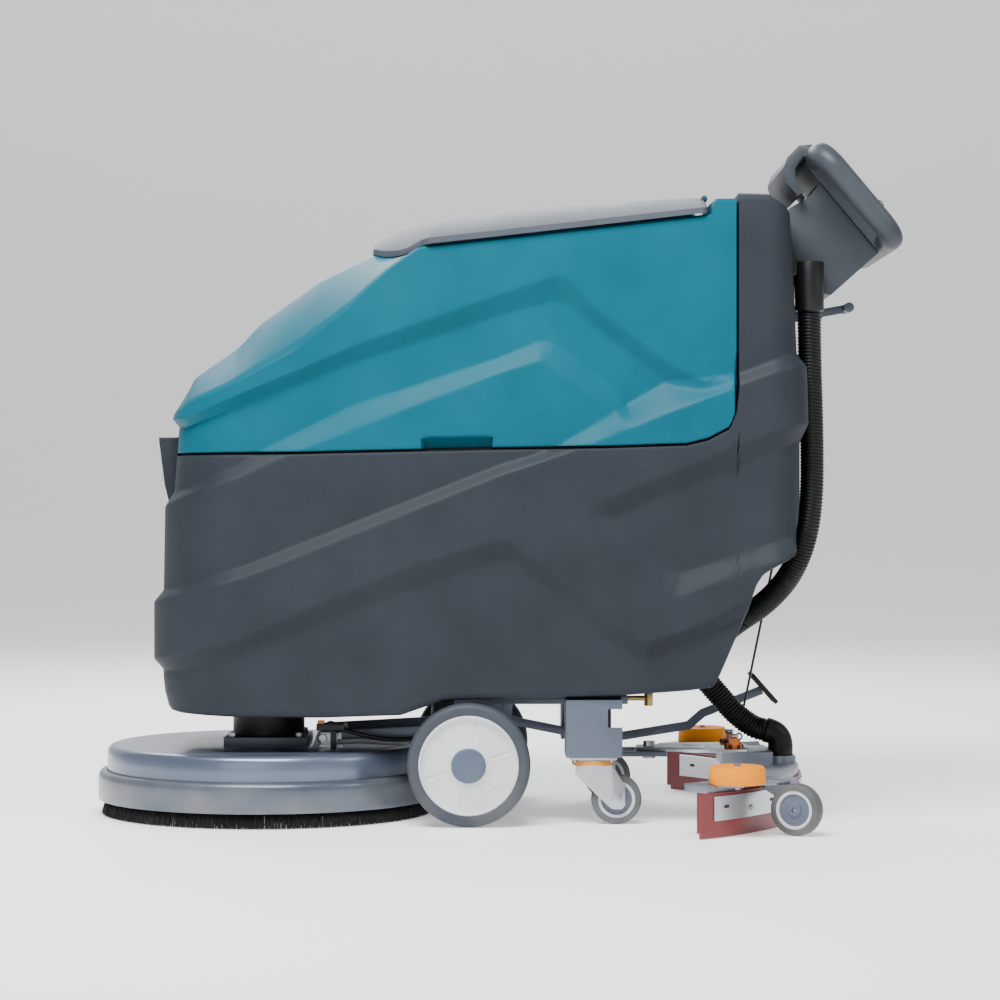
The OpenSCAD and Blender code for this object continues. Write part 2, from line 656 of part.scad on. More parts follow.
yoke_z1 = [90, 98];
module squeegee_yoke() color("#8c96a8") difference() {
    union() {
        translate([yoke_x, -44, yoke_z1[0]]) cube([116, 88, yoke_z1[1] - yoke_z1[0]]);
        rod_y(yoke_x, yoke_z, 20, 100);
    }
    rod_y(yoke_x, yoke_z, yoke_pin_d + 2 * run, 140);
    translate([swing_x, 0, 80]) cylinder(d = swing_d, h = 40);
    translate([yoke_x + 26, -24, 80]) cube([40, 48, 40]);
}

swing_d = 12;
plate_z = [98.3, 103.3];
nut_at = [372, 46];
module swing_plate() color("#a9aeb4") {
    difference() {
        linear_z(plate_z[0], plate_z[1] - plate_z[0]) polygon([[220, -24], [250, -34], [300, -62], [352, -68],
            [392, -58], [400, 0], [392, 58], [352, 68], [300, 62], [250, 34], [220, 24]]);
        for (s = [-1, 1]) translate([nut_at[0], s * nut_at[1], 90]) cylinder(d = 9, h = 20);
        translate([296, -22, 90]) cube([36, 44, 20]);
        translate([cable_low[0], cable_low[1], 90]) cylinder(d = 5, h = 20);
    }
    // swing pin with its nut and washer
    translate([swing_x, 0, yoke_z1[0] - 6]) cylinder(d = swing_d - 2 * run, h = plate_z[0] - yoke_z1[0] + 6);
    translate([swing_x, 0, plate_z[1]]) cylinder(d = 19, h = 8, $fn = 6);
    translate([swing_x, 0, yoke_z1[0] - 6]) cylinder(d = 20, h = 5.7);
    // eye bolt of the lift cable
    translate([cable_low[0], cable_low[1], 0]) {
        translate([0, 0, plate_z[0] - 6]) cylinder(d = 5, h = 18);
        translate([0, 0, plate_z[1]]) cylinder(d = 10, h = 4, $fn = 16);
        translate([0, 0, 116]) rotate([90, 0, 0]) rotate_extrude(angle = 360) translate([5, 0]) circle(d = 3.4);
    }
}

mid_r = squeegee_r - 28;
wheel_at = [441, 330];
wheel_toe = 28;
bumper_at = [351, 350];
bumper_z = [78.3, 105];

module at_squeegee_wheel(s) translate([wheel_at[0], s * wheel_at[1], squeegee_wheel_d / 2])
    rotate([0, 0, s * wheel_toe]) children();

module squeegee_body() color("#a5abb3") difference() {
    union() {
        arc_band(front_r + fit, rear_r - fit, channel_z[0], channel_z[1], squeegee_half);
        // carrier under the swing plate
        linear_z(channel_z[1] - 1, plate_z[0] - channel_z[1] + 1) polygon([[352, -62], [432, -62], [432, 62], [352, 62]]);
        // suction socket
        translate([port_x, 0, channel_z[1] - 1]) cylinder(r = port_r + 5, h = 12);
        for (s = [-1, 1]) {
            // wheel arm, its bracket on the channel and its stub axle
            at_squeegee_wheel(s) {
                translate([0, s * -20, -squeegee_wheel_d / 2]) {
                    side_slab([[-66, channel_z[1] + 6], [-66, channel_z[0] + 2], [-34, 50], [-10, 28], [10, 28], [12, 40],
                        [-8, channel_z[1] + 6]], 4);
                }
                rod_y(0, 0, 8, 34, s * -8);
            }
            linear_z(channel_z[1] - 4, 4) polygon([on_arc(mid_r - 16, s * 35), on_arc(mid_r + 14, s * 34),
                [wheel_at[0] - 8, s * (wheel_at[1] - 24)], [wheel_at[0] - 30, s * (wheel_at[1] - 2)],
                on_arc(mid_r - 10, s * 45)]);
            // ear and pin of the bumper roller
            linear_z(channel_z[1] - 4, 4) polygon([on_arc(mid_r - 10, s * 40), on_arc(mid_r + 18, s * 39),
                [bumper_at[0] + 14, s * (bumper_at[1] - 8)], [bumper_at[0] + 8, s * (bumper_at[1] + 14)],
                [bumper_at[0] - 14, s * (bumper_at[1] + 14)], on_arc(mid_r - 10, s * (squeegee_half - 1))]);
            translate([bumper_at[0], s * bumper_at[1], channel_z[1] - 8]) cylinder(d = 10, h = bumper_z[1] - channel_z[1] + 11);
        }
    }
    translate([port_x, 0, 50]) cylinder(r = port_r - 4, h = 60);
    translate([port_x, 0, channel_z[1] + 4]) cylinder(r = port_r + 0.7, h = 20);
    for (s = [-1, 1]) translate([nut_at[0], s * nut_at[1], 60]) cylinder(d = 8, h = 60);
    translate([cable_low[0], cable_low[1], 60]) cylinder(d = 8, h = 60);
}

rear_r = squeegee_r - blade_t;
front_r = squeegee_r - 52;
module rear_blade() color("#9c2436") arc_band(rear_r, squeegee_r, 1, 1 + blade_h, squeegee_half + 1);

module front_blade() color("#8c2030") arc_band(front_r - blade_t, front_r, 1, 1 + blade_h, squeegee_half - 5);

module blade_straps() color("#c3c7ca") {
    arc_band(squeegee_r + fit, squeegee_r + fit + strap_t, strap_z[0], strap_z[1], squeegee_half - 1);
    arc_band(front_r - blade_t - fit - strap_t, front_r - blade_t - fit, strap_z[0], strap_z[1], squeegee_half - 7);
}

// mouth towards the hose, bend, and leg down into the squeegee's socket
module suction_elbow() color("#202327") {
    bend = 75;
    mid = [port_x - elbow_bend, mouth_at[1] - 23];
    difference() {
        union() {
            translate([port_x, 0, channel_z[1] + 4]) cylinder(r = port_r + 0.5, h = mid[1] - channel_z[1] - 3);
            translate([mid[0], 0, mid[1]]) rotate([90, 0, 0]) rotate_extrude(angle = bend)
                translate([elbow_bend, 0]) circle(r = port_r);
            translate([mid[0], 0, mid[1]]) rotate([0, -bend, 0]) translate([elbow_bend, 0, 0])
                cylinder(r = port_r + 0.5, h = 7.8);
        }
        translate([port_x, 0, 70]) cylinder(r = port_r - 3.5, h = mid[1] - 69);
        translate([mid[0], 0, mid[1]]) rotate([90, 0, 0]) rotate_extrude(angle = bend)
            translate([elbow_bend, 0]) circle(r = port_r - 4);
        translate([mid[0], 0, mid[1]]) rotate([0, -bend, 0]) translate([elbow_bend, 0, 0])
            cylinder(r = port_r - 3.5, h = 9);
    }
}

module thumb_nuts() color("#e08a1e") for (s = [-1, 1]) translate([nut_at[0], s * nut_at[1], 0]) {
    translate([0, 0, plate_z[1]]) cylinder(d = 26, h = 8);
    translate([-6, -18, plate_z[1] + 7]) cube([12, 36, 10]);
    translate([0, 0, channel_z[1]]) cylinder(d = 8, h = plate_z[1] - channel_z[1] + 1);
}

module bumper(s) color("#eeae35") translate([bumper_at[0], s * bumper_at[1], bumper_z[0]]) difference() {
    cylinder(d1 = bumper_d, d2 = bumper_d - 5, h = bumper_z[1] - bumper_z[0], $fn = 64);
    translate([0, 0, -1]) cylinder(d = 10 + 2 * run, h = 40);
}

module squeegee_wheel(s) color("#5b6067") at_squeegee_wheel(s) small_wheel(squeegee_wheel_d, 24, 8);

// ---------- hoses and cable ----------

module hose_upper() color("#15171a") sweep(hose_route, hose_d, 0, hose_split);
module hose_lower() color("#15171a") translate([-hose_seam, 0, -hose_seam])
    sweep(hose_route, hose_d, hose_split, len(hose_route) - 1);

cable_route = [for (i = [0 : 3]) cable_top + (cable_low - cable_top) * i / 3];
module lift_cable() color("#0f1012") sweep(cable_route, cable_d, 0, 3);

module hose_cuff() color("#202327") {
    top = hose_route[0];
    difference() {
        translate(top) cylinder(d = hose_d + 7, h = 76);
        translate(top - [0, 0, 1]) cylinder(d = hose_d - 10, h = 58);
    }
    // clamp block on the column
    translate([452 + gap, top[1] - 14, 846]) cube([9, 28, 26]);
}

// ---------- controls ----------

module at_head() translate(head_at) rotate([0, handle_tilt, 0]) children();

bar_r = handle_t / 2;
corner_r = 34;

module control_head() color("#4a525c") {
    at_head() {
        for (a = [-1, 1]) {
            rod_y(a * handle_l / 2, 0, handle_t, handle_w - 2 * corner_r);
            translate([-handle_l / 2 + corner_r, a * handle_w / 2, 0]) rotate([0, 90, 0])
                cylinder(r = bar_r, h = handle_l - 2 * corner_r);
            for (b = [-1, 1]) translate([a * (handle_l / 2 - corner_r), b * (handle_w / 2 - corner_r), 0])
                rotate([0, 0, a > 0 ? (b > 0 ? 0 : 270) : (b > 0 ? 90 : 180)])
                    rotate_extrude(angle = 90) translate([corner_r, 0]) circle(r = bar_r);
        }
        difference() {
            translate([-handle_l / 2, -console_w / 2, -bar_r]) cube([handle_l, console_w, handle_t]);
            translate([-panel_l / 2, -panel_w / 2, bar_r - panel_t]) cube([panel_l, panel_w, 10]);
            translate([button_at[0], button_at[1], bar_r - panel_t - travel - 1]) cylinder(d = 16 + 2 * run, h = 40);
        }
    }
    // grip that hooks forward and down from the ring's upper bar
    translate(head_at) side_slab([[-55, 61], [-77, 67], [-89, 51], [-89, 33], [-75, 11], [-85, 5], [-102, 25],
        [-107, 49], [-101, 65], [-83, 83], [-63, 85]], 260);
}

panel_l = 140;
panel_w = 190;
panel_t = 2;

module control_panel() color("#2b3037") at_head() difference() {
    translate([-panel_l / 2, -panel_w / 2, bar_r - panel_t]) cube([panel_l, panel_w, panel_t]);
    translate([button_at[0], button_at[1], 0]) cylinder(d = 16 + 2 * run, h = 40);
    translate([key_at[0], key_at[1], 0]) cylinder(d = 12 + 2 * run, h = 40);
    for (y = switch_y) translate([switch_x - 11, y - 8, 0]) cube([22, 16, 40]);
}

button_at = [-22, -50];
key_at = [34, -50];
switch_x = 10;
switch_y = [20, 60];
travel = 6;
rock = 8;

module stop_button() color("#c02733") at_head() translate([button_at[0], button_at[1], bar_r + travel + gap]) {
    cylinder(d = 34, h = 6);
    translate([0, 0, -travel - gap - panel_t]) cylinder(d = 16, h = travel + gap + panel_t);
}

module key() color("#c9ccd0") at_head() translate([key_at[0], key_at[1], bar_r]) {
    translate([0, 0, -panel_t]) cylinder(d = 12, h = panel_t + 3);
    translate([-4, -1, 3]) cube([8, 2, 6]);
    translate([0, 1, 18]) rotate([90, 0, 0]) difference() {
        cylinder(d = 22, h = 2);
        translate([0, 5, -1]) cylinder(d = 5, h = 4);
    }
}

module rocker(y) at_head() translate([switch_x, y, bar_r]) rotate([0, -rock, 0]) {
    rod_y(0, 0, 2.4, 15.5);
    side_slab([[-9, 0.6], [-9, 4], [0, 2], [9, 4], [9, 0.6]], 14);
}

module brush_switch() color("#16181b") rocker(switch_y[0]);
module vacuum_switch() color("#16181b") rocker(switch_y[1]);

neck_w = 200;
neck_side = [
    [446.4, 946], [452.4, 845], [452.9, 835], [497, 822], [519, 817], [575, 867], [592, 882], [599, 890],
    [512, 1020], [500, 990], [486, 972], [470, 962], [455, 954]
];

module control_neck() color("#434b55") difference() {
    side_slab(neck_side, neck_w);
    side_slab(inset(neck_side, 5), neck_w - 10);
    // room for the head above the neck
    at_head() translate([-200, -200, -bar_r - gap]) cube([400, 400, 200]);
}

module lever_bracket() color("#7b8494") for (s = [-1, 1]) difference() {
    side_slab([[455.2, 782], [453.9, 812], [lever_at[0] - 8, lever_at[1] + 9], [lever_at[0] + 9, lever_at[1] + 4],
        [lever_at[0] + 9, lever_at[1] - 9], [lever_at[0] - 6, lever_at[1] - 10]], 4, lever_y + s * 10);
    rod_y(lever_at[0], lever_at[1], 8 + 2 * run, 60, lever_y);
}

module lift_lever() color("#7b8494") {
    rod_y(lever_at[0], lever_at[1], 8, 34, lever_y);
    bar_xz([lever_at, lever_at + [50, 9]], 13, 6, lever_y);
    rod_y(lever_at[0] + 50, lever_at[1] + 9, 16, 60, lever_y);
}

// ---------- parts ----------

solution_tank();
chassis_frame();
axle_and_pins();
caster_plates();
batteries();
vacuum_motor();
controller();
water_filter();
drain_valve();
tank_hinges();
lever_bracket();
hose_cuff();
hose_upper();
lift_cable();
control_neck();
control_head();
control_panel();
filler_cap();
key();
stop_button();
brush_switch();
vacuum_switch();
lift_lever();
recovery_tank();
float_cage();
tank_lid();
deck_lift_arm();
pedal_pad();
deck_cover();
splash_skirt();
motor_plate();
brush_motor();
motor_bolts();
drive_hub();
brush_block();
bristles();
tyre(-1);  // left_tyre
rim(-1);  // left_rim
tyre(1);  // right_tyre
rim(1);  // right_rim
caster_fork(-1);  // left_caster_fork
caster_wheel(-1);  // left_caster_wheel
caster_fork(1);  // right_caster_fork
caster_wheel(1);  // right_caster_wheel
squeegee_yoke();
swing_plate();
squeegee_body();
front_blade();
rear_blade();
blade_straps();
suction_elbow();
thumb_nuts();
hose_lower();
bumper(-1);  // left_bumper
bumper(1);  // right_bumper
squeegee_wheel(-1);  // left_squeegee_wheel
squeegee_wheel(1);  // right_squeegee_wheel
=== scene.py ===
"""Looks of a walk-behind floor scrubber: round brush deck in front, tilting tank, squeegee behind."""

import json
import math

import bmesh
import bpy
import numpy as np
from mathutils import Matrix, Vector


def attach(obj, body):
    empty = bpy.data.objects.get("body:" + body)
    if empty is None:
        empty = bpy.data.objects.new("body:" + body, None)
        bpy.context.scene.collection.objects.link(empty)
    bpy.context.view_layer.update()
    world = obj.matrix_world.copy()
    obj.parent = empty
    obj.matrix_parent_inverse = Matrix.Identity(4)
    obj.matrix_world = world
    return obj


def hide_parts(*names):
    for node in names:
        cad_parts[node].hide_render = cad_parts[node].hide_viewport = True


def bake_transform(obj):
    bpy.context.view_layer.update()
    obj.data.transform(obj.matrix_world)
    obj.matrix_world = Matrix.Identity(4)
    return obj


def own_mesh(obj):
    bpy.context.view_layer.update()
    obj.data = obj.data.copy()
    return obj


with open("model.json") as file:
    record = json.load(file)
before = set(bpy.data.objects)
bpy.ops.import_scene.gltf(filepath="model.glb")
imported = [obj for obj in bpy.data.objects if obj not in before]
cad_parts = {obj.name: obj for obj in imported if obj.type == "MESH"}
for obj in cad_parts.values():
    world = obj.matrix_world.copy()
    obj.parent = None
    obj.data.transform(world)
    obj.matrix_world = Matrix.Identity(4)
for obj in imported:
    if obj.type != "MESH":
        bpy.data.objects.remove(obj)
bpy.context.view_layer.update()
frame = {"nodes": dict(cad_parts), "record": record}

# ---------- studio ----------
# A pale seamless floor and backdrop, far enough out to stand behind every view, under soft boxes: one over
# the machine, a broad one by the camera, a weaker one behind the handle and one over the far floor.

MM = 0.001
SIGHT = (1.6, -4400, 496.6)


def studio():
    lens = bpy.data.cameras.new("camera")
    lens.lens = 99.0
    lens.sensor_width = 36.0
    lens.clip_end = 60.0
    camera = bpy.data.objects.new("camera", lens)
    camera.location = Vector(SIGHT) * MM
    camera.rotation_euler = (math.radians(90), 0, 0)
    bpy.context.scene.collection.objects.link(camera)
    bpy.context.scene.camera = camera


studio()


def soft_box(name, place, target, size, watts):
    lamp = bpy.data.lights.new(name, "AREA")
    lamp.shape = "RECTANGLE"
    lamp.size, lamp.size_y = size
    lamp.energy = watts
    ob = bpy.data.objects.new(name, lamp)
    ob.location = place
    ob.rotation_euler = (Vector(target) - Vector(place)).to_track_quat("-Z", "Y").to_euler()
    bpy.context.scene.collection.objects.link(ob)


soft_box("top_box", (-0.5, -1.5, 2.7), (0.0, 0.0, 0.4), (1.9, 0.9), 165)
soft_box("front_box", (-1.4, -5.0, 1.3), (0.0, 0.0, 0.5), (3.0, 2.0), 34)
soft_box("rear_box", (3.2, -1.2, 2.4), (0.2, 0.0, 0.6), (1.4, 1.6), 36)
soft_box("far_box", (-0.6, 2.6, 2.6), (0.0, 1.6, 0.0), (3.0, 1.6), 130)

world = bpy.data.worlds.new("studio")
world.use_nodes = True
world.node_tree.nodes["Background"].inputs["Color"].default_value = (0.93, 0.95, 0.97, 1)
world.node_tree.nodes["Background"].inputs["Strength"].default_value = 0.28
bpy.context.scene.world = world


def linear(rgb):
    """An sRGB colour out of 255 as the linear colour that the sockets take."""
    return tuple(c / 3294.6 if c <= 10.3 else ((c / 255 + 0.055) / 1.055) ** 2.4 for c in rgb) + (1.0,)


floor_coat = bpy.data.materials.new("studio_floor")
floor_coat.use_nodes = True
for socket, value in (("Base Color", linear((250, 250, 250))), ("Emission Color", (1, 1, 1, 1)),
                      ("Emission Strength", 0.4), ("Roughness", 0.75)):
    floor_coat.node_tree.nodes["Principled BSDF"].inputs[socket].default_value = value


def backdrop():
    reach, back, bend, high = 12.0, 9.0, 3.0, 10.0
    profile = [(-reach, 0.0)] + [
        (back - bend + bend * math.sin(a), bend - bend * math.cos(a)) for a in np.linspace(0, math.pi / 2, 9)
    ] + [(back, high)]
    verts = [(s * reach, y, z) for y, z in profile for s in (-1, 1)]
    faces = [(2 * i, 2 * i + 1, 2 * i + 3, 2 * i + 2) for i in range(len(profile) - 1)]
    me = bpy.data.meshes.new("studio_floor")
    me.from_pydata(verts, [], faces)
    me.shade_smooth()
    me.materials.append(floor_coat)
    ob = bpy.data.objects.new("studio_floor", me)
    bpy.context.scene.collection.objects.link(ob)


backdrop()

# ---------- suction hose and lift cable ----------
# The suction hose is one ribbed black vinyl tube from the cuff on the column down to the squeegee's
# elbow. The lift cable is a thin steel rope in a black jacket, tight from its gland to the eye bolt.


def shared_group(name, inputs, outputs):
    """A shader node group with named sockets; returns its tree and its two end nodes."""
    tree = bpy.data.node_groups.new(name, "ShaderNodeTree")
    for label, kind, value in inputs:
        socket = tree.interface.new_socket(label, in_out="INPUT", socket_type=kind)
        if value is not None:
            socket.default_value = value
    for label, kind in outputs:
        tree.interface.new_socket(label, in_out="OUTPUT", socket_type=kind)
    return tree, tree.nodes.new("NodeGroupInput"), tree.nodes.new("NodeGroupOutput")


FLOAT, COLOUR, VECTOR = "NodeSocketFloat", "NodeSocketColor", "NodeSocketVector"


def make_grain():
    """Fine moulded or cast grain: a normal that rolls by a small depth."""
    tree, gin, gout = shared_group(
        "grain", [("Place", VECTOR, None), ("Scale", FLOAT, 900.0), ("Depth", FLOAT, 0.1),
                  ("Detail", FLOAT, 2.0)],
        [("Normal", VECTOR)])
    noise = tree.nodes.new("ShaderNodeTexNoise")
    bump = tree.nodes.new("ShaderNodeBump")
    bump.inputs["Distance"].default_value = 0.001
    tree.links.new(gin.outputs["Place"], noise.inputs["Vector"])
    tree.links.new(gin.outputs["Scale"], noise.inputs["Scale"])
    tree.links.new(gin.outputs["Detail"], noise.inputs["Detail"])
    tree.links.new(noise.outputs["Fac"], bump.inputs["Height"])
    tree.links.new(gin.outputs["Depth"], bump.inputs["Strength"])
    tree.links.new(bump.outputs["Normal"], gout.inputs["Normal"])
    return tree


def make_wear():
    """Uneven colour over the surface, with floor dust that thins out with height."""
    tree, gin, gout = shared_group(
        "wear",
        [("Place", VECTOR, None), ("Colour", COLOUR, (0.5, 0.5, 0.5, 1)),
         ("Faded", COLOUR, (0.5, 0.5, 0.5, 1)),
         ("Scale", FLOAT, 9.0), ("Dust", FLOAT, 0.2), ("Dust height", FLOAT, 0.12), ("Roughness", FLOAT, 0.5),
         ("Uneven", FLOAT, 0.08)],
        [("Colour", COLOUR), ("Roughness", FLOAT)])
    new, link = tree.nodes.new, tree.links.new
    patchy = new("ShaderNodeTexNoise")
    patchy.inputs["Detail"].default_value = 4.0
    link(gin.outputs["Place"], patchy.inputs["Vector"])
    link(gin.outputs["Scale"], patchy.inputs["Scale"])
    span = new("ShaderNodeMapRange")
    span.inputs["From Min"].default_value = 0.35
    span.inputs["From Max"].default_value = 0.68
    link(patchy.outputs["Fac"], span.inputs["Value"])
    fade = new("ShaderNodeMix")
    fade.data_type = "RGBA"
    link(span.outputs["Result"], fade.inputs["Factor"])
    link(gin.outputs["Colour"], fade.inputs["A"])
    link(gin.outputs["Faded"], fade.inputs["B"])
    split = new("ShaderNodeSeparateXYZ")
    link(gin.outputs["Place"], split.inputs["Vector"])
    height = new("ShaderNodeMapRange")
    height.inputs["To Min"].default_value = 1.0
    height.inputs["To Max"].default_value = 0.0
    link(split.outputs["Z"], height.inputs["Value"])
    link(gin.outputs["Dust height"], height.inputs["From Max"])
    thin = new("ShaderNodeMath")
    thin.operation = "MULTIPLY"
    link(height.outputs["Result"], thin.inputs[0])
    link(gin.outputs["Dust"], thin.inputs[1])
    spots = new("ShaderNodeMath")
    spots.operation = "MULTIPLY"
    link(thin.outputs["Value"], spots.inputs[0])
    link(span.outputs["Result"], spots.inputs[1])
    dusty = new("ShaderNodeMix")
    dusty.data_type = "RGBA"
    dusty.inputs["B"].default_value = linear((150, 146, 138))
    link(spots.outputs["Value"], dusty.inputs["Factor"])
    link(fade.outputs["Result"], dusty.inputs["A"])
    link(dusty.outputs["Result"], gout.inputs["Colour"])
    rough = new("ShaderNodeMath")
    rough.operation = "MULTIPLY_ADD"
    link(span.outputs["Result"], rough.inputs[0])
    link(gin.outputs["Uneven"], rough.inputs[1])
    link(gin.outputs["Roughness"], rough.inputs[2])
    link(rough.outputs["Value"], gout.inputs["Roughness"])
    return tree


GRAIN, WEAR = make_grain(), make_wear()


def coat(name, rgb, roughness=0.5, metal=0.0, faded=None, grain=(900, 0.1), dust=0.0, clear=0.0, scale=9.0,
         uneven=0.08, specular=0.5):
    """A finish: a colour that is a little uneven, its roughness, and a fine grain."""
    material = bpy.data.materials.new(name)
    material.use_nodes = True
    tree = material.node_tree
    shader = tree.nodes["Principled BSDF"]
    place = tree.nodes.new("ShaderNodeTexCoord")
    wear = tree.nodes.new("ShaderNodeGroup")
    wear.node_tree = WEAR
    wear.inputs["Colour"].default_value = linear(rgb)
    wear.inputs["Faded"].default_value = linear(faded or [min(255, c * 1.07 + 2) for c in rgb])
    wear.inputs["Dust"].default_value = dust
    wear.inputs["Roughness"].default_value = roughness
    wear.inputs["Uneven"].default_value = uneven
    wear.inputs["Scale"].default_value = scale
    tree.links.new(place.outputs["Object"], wear.inputs["Place"])
    tree.links.new(wear.outputs["Colour"], shader.inputs["Base Color"])
    tree.links.new(wear.outputs["Roughness"], shader.inputs["Roughness"])
    if grain:
        bumps = tree.nodes.new("ShaderNodeGroup")
        bumps.node_tree = GRAIN
        bumps.inputs["Scale"].default_value = grain[0]
        bumps.inputs["Depth"].default_value = grain[1]
        tree.links.new(place.outputs["Object"], bumps.inputs["Place"])
        tree.links.new(bumps.outputs["Normal"], shader.inputs["Normal"])
    shader.inputs["Metallic"].default_value = metal
    shader.inputs["Coat Weight"].default_value = clear
    shader.inputs["Coat Roughness"].default_value = 0.15
    shader.inputs["Specular IOR Level"].default_value = specular
    return material


hose_vinyl = coat("hose_vinyl", (11, 12, 13), 0.42, grain=None, dust=0.05, uneven=0.12, specular=0.25)
cable_jacket = coat("cable_jacket", (20, 21, 23), 0.45, grain=None)


class Shape:
    """A piece's corners, in millimetres, and its faces, built up from closed shells."""

    def __init__(self):
        self.v, self.f = [], []

    def grid(self, rows, around=True, caps=True):
        """Faces between rows of points; around joins each row's ends, caps close the first and last row."""
        n, base = len(rows[0]), len(self.v)
        for row in rows:
            self.v += [tuple(p) for p in row]
        for i in range(len(rows) - 1):
            for j in range(n if around else n - 1):
                k = (j + 1) % n
                a, b = base + i * n, base + (i + 1) * n
                self.f.append((a + j, a + k, b + k, b + j))
        if caps:
            self.f.append(tuple(base + j for j in reversed(range(n))))
            self.f.append(tuple(base + (len(rows) - 1) * n + j for j in range(n)))
        return self

    def tube(self, path, radius, sides=16):
        """A round tube along points, closed at both ends; radius is a number or one for each point."""
        pts = [np.array(p, float) for p in path]
        radii = radius if hasattr(radius, "__len__") else [radius] * len(pts)
        rows, side = [], None
        for i, p in enumerate(pts):
            t = pts[min(i + 1, len(pts) - 1)] - pts[max(i - 1, 0)]
            t = t / np.linalg.norm(t)
            if side is None:
                side = np.cross(t, (0, 1, 0) if abs(t[1]) < 0.8 else (1, 0, 0))
            side = side - t * (side @ t)
            side = side / np.linalg.norm(side)
            up = np.cross(t, side)
            rows.append([p + radii[i] * (side * math.cos(a) + up * math.sin(a))
                         for a in np.linspace(0, 2 * math.pi, sides, endpoint=False)])
        return self.grid(rows)

    def lathe(self, profile, centre, axis=(0, 0, 1), sides=48, ring=False):
        """(radius, height) points turned about an axis; a ring's profile closes on itself."""
        ax = np.array(axis, float) / np.linalg.norm(axis)
        side = np.cross(ax, (1, 0, 0) if abs(ax[0]) < 0.8 else (0, 1, 0))
        side = side / np.linalg.norm(side)
        up = np.cross(ax, side)
        around = [side * math.cos(a) + up * math.sin(a)
                  for a in np.linspace(0, 2 * math.pi, sides, endpoint=False)]
        rows = [[np.array(centre) + ax * h + r * d for d in around] for r, h in profile]
        if ring:
            rows.append(rows[0])
        return self.grid(rows, caps=not ring)

    def prism(self, outline, low, high, edge=0.0, up=(0, 0, 1), across=(1, 0, 0), origin=(0, 0, 0)):
        """A flat outline drawn out from low to high along up, its two rims eased by edge."""
        a, u = np.array(across, float), np.array(up, float)
        b, o = np.cross(u, a), np.array(origin, float)
        p = np.array(outline, float)
        area = sum(p[i][0] * p[(i + 1) % len(p)][1] - p[(i + 1) % len(p)][0] * p[i][1] for i in range(len(p)))
        if area < 0:
            p = p[::-1]

        def drawn_in(d):
            back, ahead = p - np.roll(p, 1, 0), np.roll(p, -1, 0) - p
            na = np.stack([-back[:, 1], back[:, 0]], 1) / np.linalg.norm(back, axis=1)[:, None]
            nb = np.stack([-ahead[:, 1], ahead[:, 0]], 1) / np.linalg.norm(ahead, axis=1)[:, None]
            m = na + nb
            m = m / np.maximum(np.linalg.norm(m, axis=1), 1e-6)[:, None]
            return p + m * d / np.maximum(0.4, (m * na).sum(1))[:, None]

        steps = [(edge, low), (edge * 0.3, low + edge * 0.3), (0, low + edge), (0, high - edge),
                 (edge * 0.3, high - edge * 0.3), (edge, high)] if edge else [(0, low), (0, high)]
        return self.grid([[o + a * q[0] + b * q[1] + u * h for q in drawn_in(d)] for d, h in steps])

    def box(self, low, high, edge=0.6):
        """A box square to the frame, its vertical edges sharp and its two flat rims eased."""
        return self.prism([(low[0], low[1]), (high[0], low[1]), (high[0], high[1]), (low[0], high[1])],
                          low[2], high[2], edge)


def cut_out(me, cutters):
    """The mesh with each closed cutter shape taken out of it."""
    ob = bpy.data.objects.new(me.name, me)
    bpy.context.scene.collection.objects.link(ob)
    tools = []
    for cutter in cutters:
        tool_mesh = bpy.data.meshes.new("cutter")
        tool_mesh.from_pydata([(x * MM, y * MM, z * MM) for x, y, z in cutter.v], [], cutter.f)
        bm = bmesh.new()
        bm.from_mesh(tool_mesh)
        bmesh.ops.recalc_face_normals(bm, faces=bm.faces)
        bm.to_mesh(tool_mesh)
        bm.free()
        tools.append(bpy.data.objects.new("cutter", tool_mesh))
        bpy.context.scene.collection.objects.link(tools[-1])
        cut = ob.modifiers.new("cut", "BOOLEAN")
        cut.operation = "DIFFERENCE"
        cut.solver = "EXACT"
        cut.object = tools[-1]
    made = bpy.data.meshes.new_from_object(ob.evaluated_get(bpy.context.evaluated_depsgraph_get()))
    for each in tools + [ob]:
        bpy.data.objects.remove(each)
    return made


def piece(name, shape, material, body=None, stands_for=(), crisp=32, facing=True, cutters=()):
    """Makes a named piece of a shape, gives it its finish and its body, and hides the nodes it stands for."""
    me = bpy.data.meshes.new(name)
    me.from_pydata([(x * MM, y * MM, z * MM) for x, y, z in shape.v], [], shape.f)
    bm = bmesh.new()
    bm.from_mesh(me)
    bmesh.ops.remove_doubles(bm, verts=bm.verts, dist=2e-6)
    if facing:
        bmesh.ops.recalc_face_normals(bm, faces=bm.faces)
    bm.to_mesh(me)
    bm.free()
    if cutters:
        me = cut_out(me, cutters)
    me.shade_smooth()
    me.set_sharp_from_angle(angle=math.radians(crisp))
    me.materials.append(material)
    ob = bpy.data.objects.new(name, me)
    bpy.context.scene.collection.objects.link(ob)
    if body:
        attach(ob, body)
    if stands_for:
        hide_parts(*([stands_for] if isinstance(stands_for, str) else stands_for))
    return ob


def flowing(points, step):
    """Evenly spaced points on a smooth line through the given ones."""
    p = np.array(points, float)
    p = np.vstack([2 * p[0] - p[1], p, 2 * p[-1] - p[-2]])
    fine = []
    for i in range(1, len(p) - 2):
        for t in np.linspace(0, 1, 24, endpoint=False):
            a, b, c, d = p[i - 1:i + 3]
            fine.append(0.5 * (2 * b + (c - a) * t + (2 * a - 5 * b + 4 * c - d) * t * t
                               + (3 * b - a - 3 * c + d) * t ** 3))
    fine = np.array(fine + [p[-2]])
    run = np.concatenate([[0], np.cumsum(np.linalg.norm(np.diff(fine, axis=0), axis=1))])
    at = np.linspace(0, run[-1], max(3, int(round(run[-1] / step)) + 1))
    return np.stack([np.interp(at, run, fine[:, k]) for k in range(3)], 1), run[-1]


